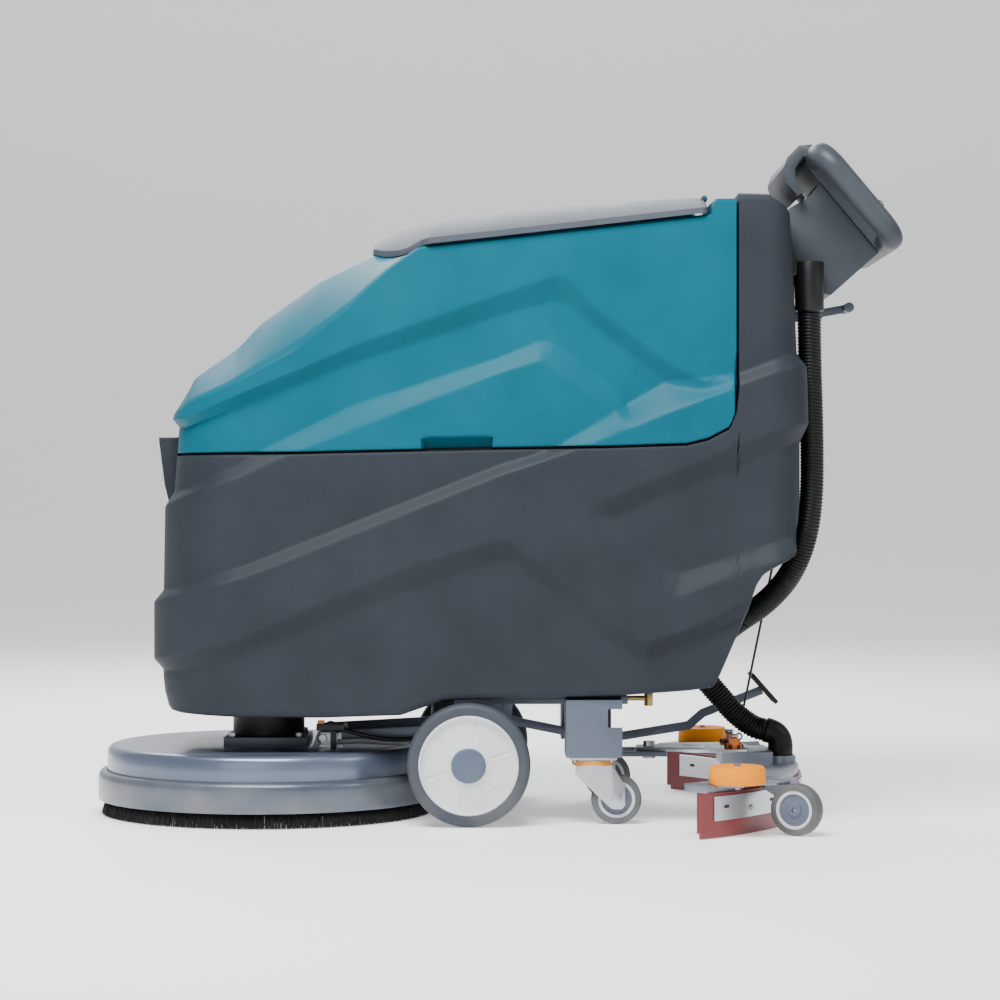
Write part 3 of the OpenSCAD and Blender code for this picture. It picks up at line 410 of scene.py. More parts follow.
HOSE_D = 38.0
HOSE_PITCH = 5.2
HOSE_UPPER = [
    (482, -130, 790), (482, -130, 760), (483, -130, 700), (485, -130, 635), (486, -130, 580),
    (486, -130, 530),
    (484, -128, 490), (479, -122, 450), (469, -110, 412), (454, -94, 378), (434, -74, 350), (412, -54, 328),
    (390, -36, 311)]
HOSE_LOWER = [
    (390, -36, 311), (370, -22, 295), (350, -12, 274), (335, -6, 253), (327, -2, 230), (330, 0, 212),
    (341, 0, 197), (354, 0, 182), (367, 0, 167), (380, 0, 154), (394, 0, 143), (411, 0, 133), (426, 0, 129)]


def ribbed_hose(node, route):
    centres, length = flowing(route, HOSE_PITCH / 4)
    ribs = [HOSE_D / 2 - (0.0, 0.9, 1.9, 0.9)[i % 4] for i in range(len(centres))]
    ob = piece(node + "_ribbed", Shape().tube(centres, ribs, 28), hose_vinyl, stands_for=node,
               crisp=70)
    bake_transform(ob)


ribbed_hose("hose_upper", HOSE_UPPER)
ribbed_hose("hose_lower", HOSE_LOWER)

CABLE_TOP, CABLE_LOW, CABLE_D = (442, 28, 398), (386, 28, 124.8), 4.0
cable_line = np.linspace(CABLE_TOP, CABLE_LOW, 12)
cable = piece("lift_cable_rope", Shape().tube(cable_line, CABLE_D / 2, 12), cable_jacket, "chassis",
              stands_for="lift_cable")
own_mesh(cable)

# ---------- body: solution tank, seam and recovery tank ----------
# Both tanks are rotationally moulded polyethylene with a fine pebble finish. The grey lower tank
# carries everything and runs up behind the teal one as a column. Stepped panels are moulded in.

tank_grey = coat("tank_grey", (38, 43, 50), 0.5, faded=(43, 48, 55), grain=(520, 0.3), dust=0.15,
                 specular=0.14)
tank_teal = coat("tank_teal", (0, 82, 99), 0.42, faded=(0, 88, 106), grain=(520, 0.3), specular=0.12)
# painted shade: flat black for the shade deep in the gap between the two tanks
seam_shade_black = coat("seam_shade_black", (10, 11, 12), 0.7, grain=None)

HALF = 221.5                       # half width between the stepped panels
STEP = 14.5                        # height of a moulded step
NOSE = -502.0
NOSE_R, TAIL_R = 110.0, 50.0
TAIL = 462.0
COLUMN = 365.0                     # front face of the rear column


def along(*points):
    xs, zs = zip(*points)
    return lambda x: float(np.interp(x, xs, zs))


nose_line = along((165, -510), (170, -512), (200, -520), (222, -522.5), (345, -522.5), (486, -520),
                  (508, -520),
                  (573, -515), (604, -513), (622, -508), (642, -502))
tail_line = along((577, 462), (666, 460), (845, 452), (948, 446), (964, 444))
belly = along((-512, 170), (-392, 166), (-271, 165), (-149, 169), (-112, 182), (-84, 192), (0, 194),
              (186, 199),
              (284, 206), (325, 211), (336, 229), (361, 287), (379, 330), (390, 366), (401, 383), (446, 411),
              (458, 456), (462, 500))
seam = along((-502, 567), (-310, 568), (-228, 570), (2, 575), (163, 577), (285, 581), (318, 589), (350, 606),
             (361, 634), (365, 674))
crease = along((-502, 630), (-476, 646), (-413, 671), (-310, 727), (-228, 792), (-168, 850), (-125, 880),
               (-110, 884), (2, 896), (323, 932), (328, 955), (368, 955))
ridge = along((-502, 642), (-476, 690), (-407, 738), (-369, 778), (-281, 841), (-196, 882), (-110, 885.5),
              (2, 898), (323, 934), (328, 960), (368, 960))
column_top = along((365, 964), (407, 963), (439, 953), (462, 944))

band_high = along((-504, 356), (-431, 380), (2, 551), (83, 575), (253, 678), (368, 690), (447, 721))
band_low = along((-502, 338), (-350, 391), (2, 533), (115, 571), (141, 581), (368, 671), (449, 701))
channel_top = along((-480, 622), (-281, 705), (-209, 736), (2, 810), (66, 832), (86, 839), (107, 832),
                    (143, 792),
                    (229, 727), (307, 677))
channel_top_in = along((-484, 609), (-391, 642), (-228, 703), (2, 778), (83, 799), (99, 796), (241, 686),
                       (265, 670), (307, 660))
channel_low_in = along((-490, 510), (-399, 549), (-371, 569), (-228, 640), (2, 715), (58, 739), (80, 739),
                       (188, 660), (225, 570))
channel_low = along((-500, 486), (-490, 492), (-391, 532), (-305, 570), (2, 689), (62, 707), (68, 705),
                    (180, 626), (225, 530))
foot_high = along((-512, 247), (-407, 282), (-286, 334), (-135, 397), (2, 438), (21, 433), (123, 359),
                  (184, 306),
                  (212, 285), (229, 283), (285, 301), (382, 342))
foot_low = along((-508, 233), (-472, 235), (-391, 261), (-228, 326), (2, 407), (20, 405), (163, 282),
                 (212, 257),
                 (229, 255), (366, 312))
pocket_top = along((131, 477), (135, 488), (285, 549), (451, 614))
pocket_top_in = along((131, 473), (180, 472), (204, 484), (453, 584))
pocket_low_in = along((131, 472), (180, 470), (192, 460), (253, 395), (277, 387), (451, 444))
pocket_low = along((131, 466), (163, 427), (245, 358), (269, 347), (443, 411))


def ramp(value, start, end):
    t = min(1.0, max(0.0, (value - start) / (end - start)))
    return t + 0.15 * (t * t * (3 - 2 * t) - t)


def step_out(x, z):
    """How far the moulded panels stand out from the mean surface."""
    below = 1 - ramp(z, band_low(x), band_high(x))
    channel = 1 - ramp(z, channel_top_in(x), channel_top(x))
    channel *= ramp(z, channel_low(x), channel_low_in(x))
    foot = 1 - ramp(z, foot_low(x), foot_high(x))
    h = below - channel * (1 - below) - foot
    if x > 131:
        h -= ((1 - ramp(z, pocket_top_in(x), max(pocket_top(x), pocket_top_in(x) + 4)))
              * ramp(z, pocket_low(x), max(pocket_low_in(x), pocket_low(x) + 4)) * ramp(x, 131, 178))
    return h * STEP


def skin(x, z, drawn_in=0.0, finger=False, half=HALF):
    """Point of the near flank at station x and height z, and its step; drawn_in eases the rims."""
    side = np.array((0.0, 1.0))
    width = half
    if x < NOSE + NOSE_R:
        s = min(1.0, (NOSE + NOSE_R - x) / NOSE_R)
        side = np.array((-s, math.sqrt(1 - s * s)))
        width = half - NOSE_R + NOSE_R * side[1]
    elif x > TAIL - TAIL_R:
        s = min(1.0, (x - TAIL + TAIL_R) / TAIL_R)
        side = np.array((s, math.sqrt(1 - s * s)))
        width = half - TAIL_R + TAIL_R * side[1]
    h = step_out(x, z) - drawn_in
    if finger:
        h -= 17 * ramp(x, -118, -112) * (1 - ramp(x, -14, -8)) * (1 - ramp(z, seam(x) + 15, seam(x) + 19))
    lean = 0.0
    if x < NOSE + NOSE_R:
        lean = (nose_line(z) - NOSE) * (NOSE + NOSE_R - x) / NOSE_R
    elif x > COLUMN and z > 577:
        rear = max(0.0, (x - 412) / 50)
        lean = (tail_line(z) - TAIL) * rear
    return (x + lean + h * side[0], -(width + h * side[1]), z)


def closed_shell(columns):
    """A closed shell from columns of near-side points, mirrored to the far side. A column may have more
    rows than the one before it: the step is closed by a wall across."""
    shape, start = Shape(), []
    for column in columns:
        start.append(len(shape.v))
        shape.v += column + [(x, -y, z) for x, y, z in column]
    for i in range(len(columns) - 1):
        n, m = len(columns[i]), len(columns[i + 1])
        a, b = start[i], start[i + 1]
        for r in range(min(n, m) - 1):
            shape.f.append((a + r, b + r, b + r + 1, a + r + 1))
            shape.f.append((a + n + r, a + n + r + 1, b + m + r + 1, b + m + r))
        k = min(n, m) - 1
        shape.f.append((a, a + n, b + m, b))
        shape.f.append((a + k, b + k, b + m + k, a + n + k))
        for r in range(n - 1, m - 1):
            shape.f.append((b + r, b + r + 1, b + m + r + 1, b + m + r))
    for i, turn in ((0, 1), (-1, -1)):
        n, a = len(columns[i]), start[i]
        for r in range(n - 1):
            shape.f.append((a + r, a + r + 1, a + n + r + 1, a + n + r)[::turn])
    return shape


def stations(end, step=4.2):
    front = [NOSE + NOSE_R - NOSE_R * math.sin(a) for a in np.linspace(math.pi / 2, 0, 26)]
    last = min(end, TAIL - TAIL_R)
    middle = list(np.linspace(front[-1], last, int((last - front[-1]) / step) + 1))[1:]
    rear = [TAIL - TAIL_R + TAIL_R * math.sin(a) for a in np.linspace(0, math.pi / 2, 15)][1:]
    return front + middle + (rear if end > TAIL - TAIL_R else [])


def rows_between(low, high, count, low_ease, high_ease):
    """Heights and rim easing of the rows of one column."""
    rows = [(low, low_ease), (low + 0.3 * low_ease, 0.3 * low_ease)]
    rows += [(z, 0.0) for z in np.linspace(low + low_ease, high - high_ease, count)]
    return rows + [(high - 0.3 * high_ease, 0.3 * high_ease), (high, high_ease), (high, high_ease + 9)]


def solution_shell():
    columns = []
    for x in stations(COLUMN)[:-1]:
        columns.append([skin(x, z, d) for z, d in rows_between(belly(x), seam(x) - 2, 130, 8, 2.5)])
    lower = len(columns[0])
    for x in [COLUMN] + [s for s in stations(TAIL) if s > COLUMN + 2]:
        rows = [(belly(x), 8), (belly(x) + 2.4, 2.4)]
        rows += [(z, 0.0) for z in np.linspace(belly(x) + 8, 672, lower - 2)]
        rows += [(z, 0.0) for z in np.linspace(676, column_top(x) - 9, 84)]
        rows += [(column_top(x) - 3, 2.5), (column_top(x), 9)]
        columns.append([skin(x, z, d) for z, d in rows])
    return closed_shell(columns)


def recovery_shell():
    columns = []
    for x in stations(COLUMN - 4):
        low, high = seam(x) + 2, crease(x)
        if x > COLUMN - 4.5:
            low = seam(COLUMN) + 2
        column = [skin(x, z, d, finger=True) for z, d in
                  [(low, 12), (low, 2.5), (low + 0.8, 0.8)]
                  + [(z, 0.0) for z in np.linspace(low + 2.5, high - 4, 112)]]
        edge = skin(x, high)
        inner = min(110.0, -edge[1] - 8)
        peak = ridge(x)
        for t in np.linspace(0.05, 1, 14):
            y = edge[1] + t * (-inner - edge[1])
            column.append((edge[0] + (max(0.0, NOSE + 40 - x)) * 0.1 * t, y,
                           high + t * (peak - 5 - high) * (2 - t) ** 0.25
                           if peak - 5 > high else high + t * (peak - high)))
        column.append((column[-1][0], -inner * 0.55, max(column[-1][2], peak - 1)))
        column.append((column[-1][0], -inner * 0.1, max(column[-1][2], peak)))
        columns.append(column)
    return closed_shell(columns)


def filler_pocket():
    """Open-topped funnel on the nose, in front of the teal tank."""
    shape = Shape()
    side = [(-536, 590), (-505, 590), (-505, 500), (-519, 488), (-527, 520)]
    for y in (-63, 63):
        shape.prism(side, y - 3, y + 3, 1.2, up=(0, 1, 0), across=(1, 0, 0))
    for sx in (-536, -508):
        shape.prism([(sx, 590), (sx + 3, 590), (-516 if sx < -520 else sx + 3, 492),
                     (-519 if sx < -520 else sx, 490)],
                    -61, 61, 0.8, up=(0, 1, 0), across=(1, 0, 0))
    return shape


def mirror_up(shape):
    """Turns a prism drawn with up along Y so that its second outline axis points up."""
    shape.v = [(x, y, abs(z)) for x, y, z in shape.v]
    return shape


# the battery bay, the brush motor's well and the hose's recess are open, and so is the tank under the lid
battery_bay = Shape().box((-139, -170, 210), (264, 170, 620))
motor_well = Shape().lathe([(0.01, 90), (97, 90), (97, 372), (0.01, 372)], (-368, 0, 0), sides=96)
hose_recess = Shape().box((276, -65, 100), (470, 65, 331))
tank_mouth = Shape().box((-80, -150, 600), (250, 150, 1000))
piece("solution_tank_shell", solution_shell(), tank_grey, "chassis", stands_for="solution_tank",
      crisp=28, cutters=(battery_bay, motor_well, hose_recess))
piece("filler_pocket", mirror_up(filler_pocket()), tank_grey, "chassis", crisp=28)
piece("recovery_tank_shell", recovery_shell(), tank_teal, "recovery_tank", stands_for="recovery_tank",
      crisp=28, cutters=(tank_mouth,))
knuckles = Shape()
for x in (-250, 150):
    knuckles.lathe([(5.4, -10), (6.5, -10), (6.5, 10), (5.4, 10)], (x, 244, 575), axis=(1, 0, 0), sides=32,
                   ring=True)
    knuckles.box((x - 8, 228, 579.5), (x + 8, 241, 596))
piece("tank_knuckles", knuckles, tank_teal, "recovery_tank", crisp=40)

# Painted shade: a black strip set 16 mm back along the seam, standing in for the shade in the gap between the
# grey tank and the teal tank.
shade_strip_rows = [[skin(x, z, 16) for z in (seam(x) - 3, seam(x) + 1.6)] for x in stations(COLUMN - 8)]
piece("seam_shade_strip", closed_shell(shade_strip_rows), seam_shade_black, "chassis",
      cutters=(battery_bay,))

# ---------- tank lid ----------
# A crowned polyethylene cover over the recovery tank's mouth, lighter grey, hinged at its rear end.
# It is a thin hollow moulding with a plain vertical rim.

lid_grey = coat("lid_grey", (64, 70, 79), 0.5, grain=(520, 0.3), specular=0.2)

LID = (-197.0, 317.0)
LID_HALF = 228.0
LID_TAPER = 90                     # how far behind its front edge the lid reaches its full width
LID_NARROWER = 132                 # how much narrower each half is at the front edge
LID_CORNER = 18                    # of that, the part that the rounded front corners take
lid_centre = along((-197, 900), (-188, 908), (-158, 923), (-112, 937), (0, 952), (210, 968), (306, 974),
                   (317, 970))


def lid_half(x, less=0.0):
    half = LID_HALF - less
    if x < LID[0] + LID_TAPER:
        s = max(0.0, (x - LID[0]) / LID_TAPER)
        rounded = LID_CORNER * math.sqrt(min(1.0, s * 6))
        return half - LID_NARROWER + rounded + (LID_NARROWER - LID_CORNER) * s ** 1.3
    if x > LID[1] - 10:
        s = min(1.0, (x - LID[1] + 10) / 10)
        return half - 10 + 10 * math.sqrt(1 - s * s)
    return half


def tank_height(x, y):
    """Height of the recovery tank's skin under the lid."""
    edge, high, peak = 224.5, crease(x), ridge(x) - 5
    t = min(1.0, max(0.0, (edge - abs(y)) / (edge - 110)))
    return high + (t * (peak - high) * (2 - t) ** 0.25 if peak > high else t * (peak + 5 - high))


def lid_ring(x):
    outer, inner = [], []
    half = lid_half(x)
    base, top = tank_height(x, half) + 1.5, lid_centre(x)
    edge = min(top - 1, base + 9)
    spread = [math.sin(a) for a in np.linspace(-math.pi / 2, math.pi / 2, 49)]
    outer.append((x, -half, base))
    for s in spread:
        y = half * s
        outer.append((x, y * 0.998, edge + (top - edge) * (1 - abs(s) ** 2.5)))
    outer.append((x, half, base))
    xi = LID[0] + 8 + (x - LID[0]) * (LID[1] - LID[0] - 16) / (LID[1] - LID[0])
    wall = max(10.0, half - 8)
    inner.append((xi, wall, base))
    for s in spread[::-1]:
        y = wall * s
        inner.append((xi, y * 0.998, max(base + 1.5, tank_height(xi, y) + 1.5,
                                         edge - 5 + (top - edge) * (1 - abs(s) ** 2.5))))
    inner.append((xi, -wall, base))
    return outer + inner


def lid_shell():
    xs = [LID[0] + LID_TAPER - LID_TAPER * math.sin(a) for a in np.linspace(math.pi / 2, 0, 20)]
    xs += list(np.linspace(LID[0] + LID_TAPER, LID[1] - 10, 70))[1:]
    xs += [LID[1] - 10 + 10 * math.sin(a) for a in np.linspace(0, math.pi / 2, 7)][1:]
    shape = Shape().grid([lid_ring(x) for x in xs], caps=False)
    n = len(lid_ring(0))
    half = n // 2
    for base in (0, (len(xs) - 1) * n):
        for j in range(half - 1):
            a, b = base + j, base + j + 1
            shape.f.append((a, b, base + n - 1 - (j + 1), base + n - 1 - j))
    return shape


piece("tank_lid_shell", lid_shell(), lid_grey, "tank_lid", stands_for="tank_lid", crisp=38)
LID_HINGE = (318, 963)              # the hinge line at the lid's rear end
barrels, pins = Shape(), Shape()
for y in (-130, 130):
    at = (LID_HINGE[0], y, LID_HINGE[1])
    barrels.lathe([(2.7, -12), (5, -12), (5, 12), (2.7, 12)], at, axis=(0, 1, 0), sides=32, ring=True)
    pins.lathe([(0.01, -18), (2.4, -18), (2.4, 18), (0.01, 18)], at, axis=(0, 1, 0), sides=24)
piece("lid_barrels", barrels, lid_grey, "tank_lid", crisp=40)
piece("lid_pins", pins, tank_teal, "recovery_tank", crisp=40)

# ---------- scrub deck ----------
# A spun and painted steel cover with a rolled rim, clamped over a deep moulded skirt. The motor plate
# is bolted through it, and the lugs of the lift are welded on behind.

deck_paint = coat("deck_paint", (92, 103, 122), 0.3, metal=0.55, grain=(160, 0.05), clear=0.5, dust=0.2,
                  scale=6)
skirt_paint = coat("skirt_paint", (70, 79, 94), 0.34, metal=0.35, grain=(300, 0.06), clear=0.3, dust=0.5)
frame_paint = coat("frame_paint", (82, 90, 104), 0.38, metal=0.3, grain=(420, 0.12), dust=0.45)
motor_black = coat("motor_black", (17, 19, 22), 0.42, grain=(240, 0.1))
zinc = coat("zinc", (186, 190, 195), 0.32, metal=0.9, grain=(260, 0.12), faded=(168, 171, 175), uneven=0.14)
black_plastic = coat("black_plastic", (24, 26, 29), 0.48, grain=(700, 0.12), dust=0.2)

DECK_X = -368

cover = Shape().lathe(
    [(30, 103), (236, 103), (244, 98), (246, 58), (255.5, 58), (256, 84), (255.6, 98), (254, 103.5),
     (250.5, 107.5),
     (245, 109.6), (236, 110), (232, 109), (226, 108.6), (222, 110), (30, 110)], (DECK_X, 0, 0), sides=160,
    ring=True)
for s in (-1, 1):
    cover.prism([(-293, -109), (-257, -109), (-266, -134), (-284, -134)], s * 84 - 3, s * 84 + 3, 0.8,
                up=(0, 1, 0))
    cover.lathe([(4.5, -7), (5, -6.4), (5, 8), (4.5, 8.6)], (-275, s * 91, 125), axis=(0, s, 0), sides=24)
cover.v = [(x, y, abs(z)) for x, y, z in cover.v]
piece("deck_cover_spun", cover, deck_paint, "deck", stands_for="deck_cover", crisp=50)

skirt = Shape().lathe(
    [(257, 51), (265, 48), (265, 26), (266.5, 24), (268.8, 24), (270, 26), (270, 58), (269.6, 62), (268, 66),
     (265, 69), (261, 70), (257, 70)], (DECK_X, 0, 0), sides=160, ring=True)
piece("splash_skirt_moulded", skirt, skirt_paint, "deck", stands_for="splash_skirt",
      crisp=50)


def eased(node, width, material, segments=2, crisp=30):
    """The CAD node's own shape with its sharp edges rounded by width millimetres."""
    source = frame["nodes"][node].data
    bm = bmesh.new()
    bm.from_mesh(source)
    bmesh.ops.remove_doubles(bm, verts=bm.verts, dist=2e-6)
    bmesh.ops.dissolve_limit(bm, angle_limit=math.radians(0.6), verts=bm.verts, edges=bm.edges)
    me = bpy.data.meshes.new(node + "_made")
    bm.to_mesh(me)
    bm.free()
    ob = bpy.data.objects.new(node + "_made", me)
    bpy.context.scene.collection.objects.link(ob)
    rim = ob.modifiers.new("rim", "BEVEL")
    rim.width = width * MM
    rim.segments = segments
    rim.limit_method = "ANGLE"
    rim.angle_limit = math.radians(crisp)
    rim.use_clamp_overlap = True
    made = bpy.data.meshes.new_from_object(ob.evaluated_get(bpy.context.evaluated_depsgraph_get()))
    ob.modifiers.clear()
    ob.data = made
    made.name = node + "_made"
    made.materials.clear()
    made.materials.append(material)
    made.shade_smooth()
    made.set_sharp_from_angle(angle=math.radians(40))
    for body, members in frame["record"]["behaviour"]["bodies"].items():
        if node in members:
            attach(ob, body)
    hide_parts(node)
    return ob


eased("motor_plate", 1.5, frame_paint)
eased("brush_motor", 2.0, motor_black)
eased("motor_bolts", 0.8, zinc)
eased("drive_hub", 1.0, zinc)
eased("brush_block", 2.0, black_plastic)

# ---------- brush bristles ----------
# Stiff black nylon filaments set in rings in the brush block, splayed a little by use.
# They are grown as single strands: dense rings at the rim, thinner ones inside.

bristle_nylon = coat("bristle_nylon", (18, 19, 21), 0.5, grain=None)


def strand_tree():
    tree = bpy.data.node_groups.new("bristle_rings", "GeometryNodeTree")
    tree.interface.new_socket("Geometry", in_out="INPUT", socket_type="NodeSocketGeometry")
    for label, kind, value in (("Strand", FLOAT, 0.028), ("Thick", FLOAT, 0.0008), ("Splay", FLOAT, 0.22),
                               ("Ragged", FLOAT, 0.09), ("Seed", "NodeSocketInt", 4)):
        tree.interface.new_socket(label, in_out="INPUT", socket_type=kind).default_value = value
    tree.interface.new_socket("Geometry", in_out="OUTPUT", socket_type="NodeSocketGeometry")
    new, link = tree.nodes.new, tree.links.new
    gin, gout = new("NodeGroupInput"), new("NodeGroupOutput")
    cone = new("GeometryNodeMeshCone")
    cone.inputs["Vertices"].default_value = 3
    link(gin.outputs["Strand"], cone.inputs["Depth"])
    link(gin.outputs["Thick"], cone.inputs["Radius Bottom"])
    taper = new("ShaderNodeMath")
    taper.operation = "MULTIPLY"
    taper.inputs[1].default_value = 0.6
    link(gin.outputs["Thick"], taper.inputs[0])
    link(taper.outputs["Value"], cone.inputs["Radius Top"])
    place = new("GeometryNodeInputPosition")
    flat = new("ShaderNodeVectorMath")
    flat.operation = "MULTIPLY"
    flat.inputs[1].default_value = (1, 1, 0)
    link(place.outputs["Position"], flat.inputs[0])
    outward = new("ShaderNodeVectorMath")
    outward.operation = "SCALE"
    link(flat.outputs["Vector"], outward.inputs[0])
    link(gin.outputs["Splay"], outward.inputs["Scale"])
    wild = new("FunctionNodeRandomValue")
    wild.data_type = "FLOAT_VECTOR"
    wild.inputs["Min"].default_value = (-1, -1, -0.2)
    wild.inputs["Max"].default_value = (1, 1, 0.2)
    link(gin.outputs["Seed"], wild.inputs["Seed"])
    rough = new("ShaderNodeVectorMath")
    rough.operation = "SCALE"
    link(wild.outputs["Value"], rough.inputs[0])
    link(gin.outputs["Ragged"], rough.inputs["Scale"])
    both = new("ShaderNodeVectorMath")
    link(outward.outputs["Vector"], both.inputs[0])
    link(rough.outputs["Vector"], both.inputs[1])
    down = new("ShaderNodeVectorMath")
    down.inputs[1].default_value = (0, 0, -1)
    link(both.outputs["Vector"], down.inputs[0])
    aim = new("FunctionNodeAlignRotationToVector")
    aim.axis = "Z"
    link(down.outputs["Vector"], aim.inputs["Vector"])
    grow = new("GeometryNodeInstanceOnPoints")
    link(gin.outputs["Geometry"], grow.inputs["Points"])
    link(cone.outputs["Mesh"], grow.inputs["Instance"])
    link(aim.outputs["Rotation"], grow.inputs["Rotation"])
    real = new("GeometryNodeRealizeInstances")
    link(grow.outputs["Instances"], real.inputs["Geometry"])
    paint = new("GeometryNodeSetMaterial")
    paint.inputs["Material"].default_value = bristle_nylon
    link(real.outputs["Geometry"], paint.inputs["Geometry"])
    link(paint.outputs["Geometry"], gout.inputs["Geometry"])
    return tree


def bristles():
    points = []
    for k, (r, n) in enumerate([(256.4, 1250), (254.6, 1180), (252.6, 1100), (249, 900), (243, 620),
                                (236, 480),
                                (226, 420), (212, 360), (196, 330), (178, 300), (158, 260), (136, 220),
                                (114, 180)]):
        for a in np.linspace(0, 2 * math.pi, n, endpoint=False):
            b = a + k * 0.41
            points.append((r * math.cos(b) * MM, r * math.sin(b) * MM, 0.0283))
    me = bpy.data.meshes.new("bristle_field")
    me.from_pydata(points, [], [])
    ob = bpy.data.objects.new("bristle_field", me)
    bpy.context.scene.collection.objects.link(ob)
    grown = ob.modifiers.new("rings", "NODES")
    grown.node_group = strand_tree()
    for item in grown.node_group.interface.items_tree:
        if item.in_out == "INPUT" and item.name in ("Ragged", "Splay"):
            grown[item.identifier] = {"Ragged": 0.08, "Splay": 0.9}[item.name]
    made = bpy.data.meshes.new_from_object(ob.evaluated_get(bpy.context.evaluated_depsgraph_get()))
    ob.modifiers.clear()
    co = np.array([v.co for v in made.vertices], float)
    co[:, 2] = np.maximum(co[:, 2], 0.0003)
    co[:, 0] += DECK_X * MM
    made.vertices.foreach_set("co", co.astype(np.float32).ravel())
    made.shade_smooth()
    ob.data = made
    ob.name = made.name = "bristle_rings"
    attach(ob, "brush")
    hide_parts("bristles")


bristles()

# ---------- drive wheels ----------
# Two plain wheels on a through axle: a grey non-marking rubber tyre pressed on a moulded nylon rim
# whose dished face has six shallow creases, with a clip-on cap over the axle end.

tyre_rubber = coat("tyre_rubber", (50, 56, 66), 0.62, grain=(500, 0.12), dust=0.3, faded=(55, 61, 71))
rim_nylon = coat("rim_nylon", (214, 215, 217), 0.42, grain=None, dust=0.25, faded=(203, 204, 206))
cap_paint = coat("cap_paint", (72, 84, 104), 0.4, grain=(400, 0.08), dust=0.2)
AXLE = (-46.0, 94.0)
WHEEL_Y = 218.0


def drive_wheel(side, name):
    centre, out = (AXLE[0], side * WHEEL_Y, AXLE[1]), (0, side, 0)
    tyre = Shape().lathe(
        [(76.2, -20), (80, -21.4), (86, -22), (90.5, -21), (92.6, -17.5), (93.7, -13), (94, -8), (94, 8),
         (93.7, 13),
         (92.6, 17.5), (90.5, 21), (86, 22), (80, 21.4), (76.2, 20)], centre, out, sides=144, ring=True)
    piece(f"{name}_tyre_moulded", tyre, tyre_rubber, f"{name}_wheel", stands_for=f"{name}_tyre",
          crisp=55)
    rim = Shape().lathe(
        [(10.2, -19), (27, -19), (27, 8), (69, 8), (69, -19), (76, -19), (76, 19.5), (74.8, 20.6),
         (72.8, 20.6),
         (71.6, 19.4), (71, 16.5), (68, 15.4), (60, 15.6), (50, 16.2), (40, 17.0), (31, 17.8), (29.4, 18.4),
         (29, 20.4), (10.2, 20.4)], centre, out, sides=240, ring=True)
    c = np.array(centre)
    for i, (x, y, z) in enumerate(rim.v):
        rel = np.array((x, y, z)) - c
        r, h = math.hypot(rel[0], rel[2]), rel[1] * side
        if 30 < r < 70.9 and h > 12:
            a = math.atan2(rel[2], rel[0]) + math.radians(12)
            fold = abs((a / (math.pi / 3)) % 1.0 - 0.5) * 2 * (math.pi / 6) * r
            dip = -1.9 * math.exp(-(fold / 2.0) ** 2) * min(1, (r - 30) / 4) * min(1, (71 - r) / 3)
            rim.v[i] = (x, y + side * dip, z)
    piece(f"{name}_rim_moulded", rim, rim_nylon, f"{name}_wheel", stands_for=f"{name}_rim",
          crisp=42)
    cap = Shape().lathe([(26.5, 16), (26.5, 21.4), (25.2, 22.4), (20, 22.9), (8, 23.2), (0.5, 23.3),
                         (0.5, 16)],
                        centre, out, sides=96)
    piece(f"{name}_wheel_cap", cap, cap_paint, f"{name}_wheel", crisp=40)


drive_wheel(-1, "left")
drive_wheel(1, "right")

# ---------- frame, casters and their plates ----------
# Welded and painted steel under the tank, with bolted zinc-plated swivel casters at the back. The
# casters have grey rubber treads on pale nylon centres and an orange seal under the plate.

caster_rubber = coat("caster_rubber", (62, 66, 72), 0.6, grain=(500, 0.1), dust=0.5)
caster_ring = coat("caster_ring", (196, 198, 200), 0.45, grain=None, dust=0.3)
caster_hub = coat("caster_hub", (72, 84, 104), 0.45, grain=None, dust=0.3)
seal_orange = coat("seal_orange", (214, 128, 28), 0.5, grain=None, dust=0.2)
# painted shade: flat black for the shadow under the tank above the wheels
underside_shade_black = coat("underside_shade_black", (13, 14, 16), 0.65, grain=(500, 0.1))

eased("chassis_frame", 1.0, frame_paint)
eased("axle_and_pins", 0.6, zinc)
eased("caster_plates", 0.8, zinc)


def trolley_wheel(name, node, body, centre, axis, d, w):
    r, h = d / 2, w / 2
    tread = Shape().lathe([(r * 0.74, -h), (r * 0.9, -h), (r * 0.97, -h + 1.6), (r, -h + 4.5), (r, h - 4.5),
                           (r * 0.97, h - 1.6), (r * 0.9, h), (r * 0.74, h)], centre, axis, sides=72,
                          ring=True)
    piece(f"{name}_tread", tread, caster_rubber, body, stands_for=node, crisp=50)
    ring = Shape().lathe([(r * 0.62, -h + 1.2), (r * 0.74, -h + 0.6), (r * 0.74, h - 0.6),
                          (r * 0.62, h - 1.2)],
                         centre, axis, sides=72, ring=True)
    piece(f"{name}_ring", ring, caster_ring, body)
    hub = Shape().lathe([(4.2, -h + 0.6), (r * 0.25, -h + 0.6), (r * 0.3, -h + 3), (r * 0.62, -h + 3.4),
                         (r * 0.62, h - 3.4), (r * 0.3, h - 3), (r * 0.25, h - 0.6), (4.2, h - 0.6)],
                        centre, axis, sides=72, ring=True)
    piece(f"{name}_hub", hub, caster_hub, body)


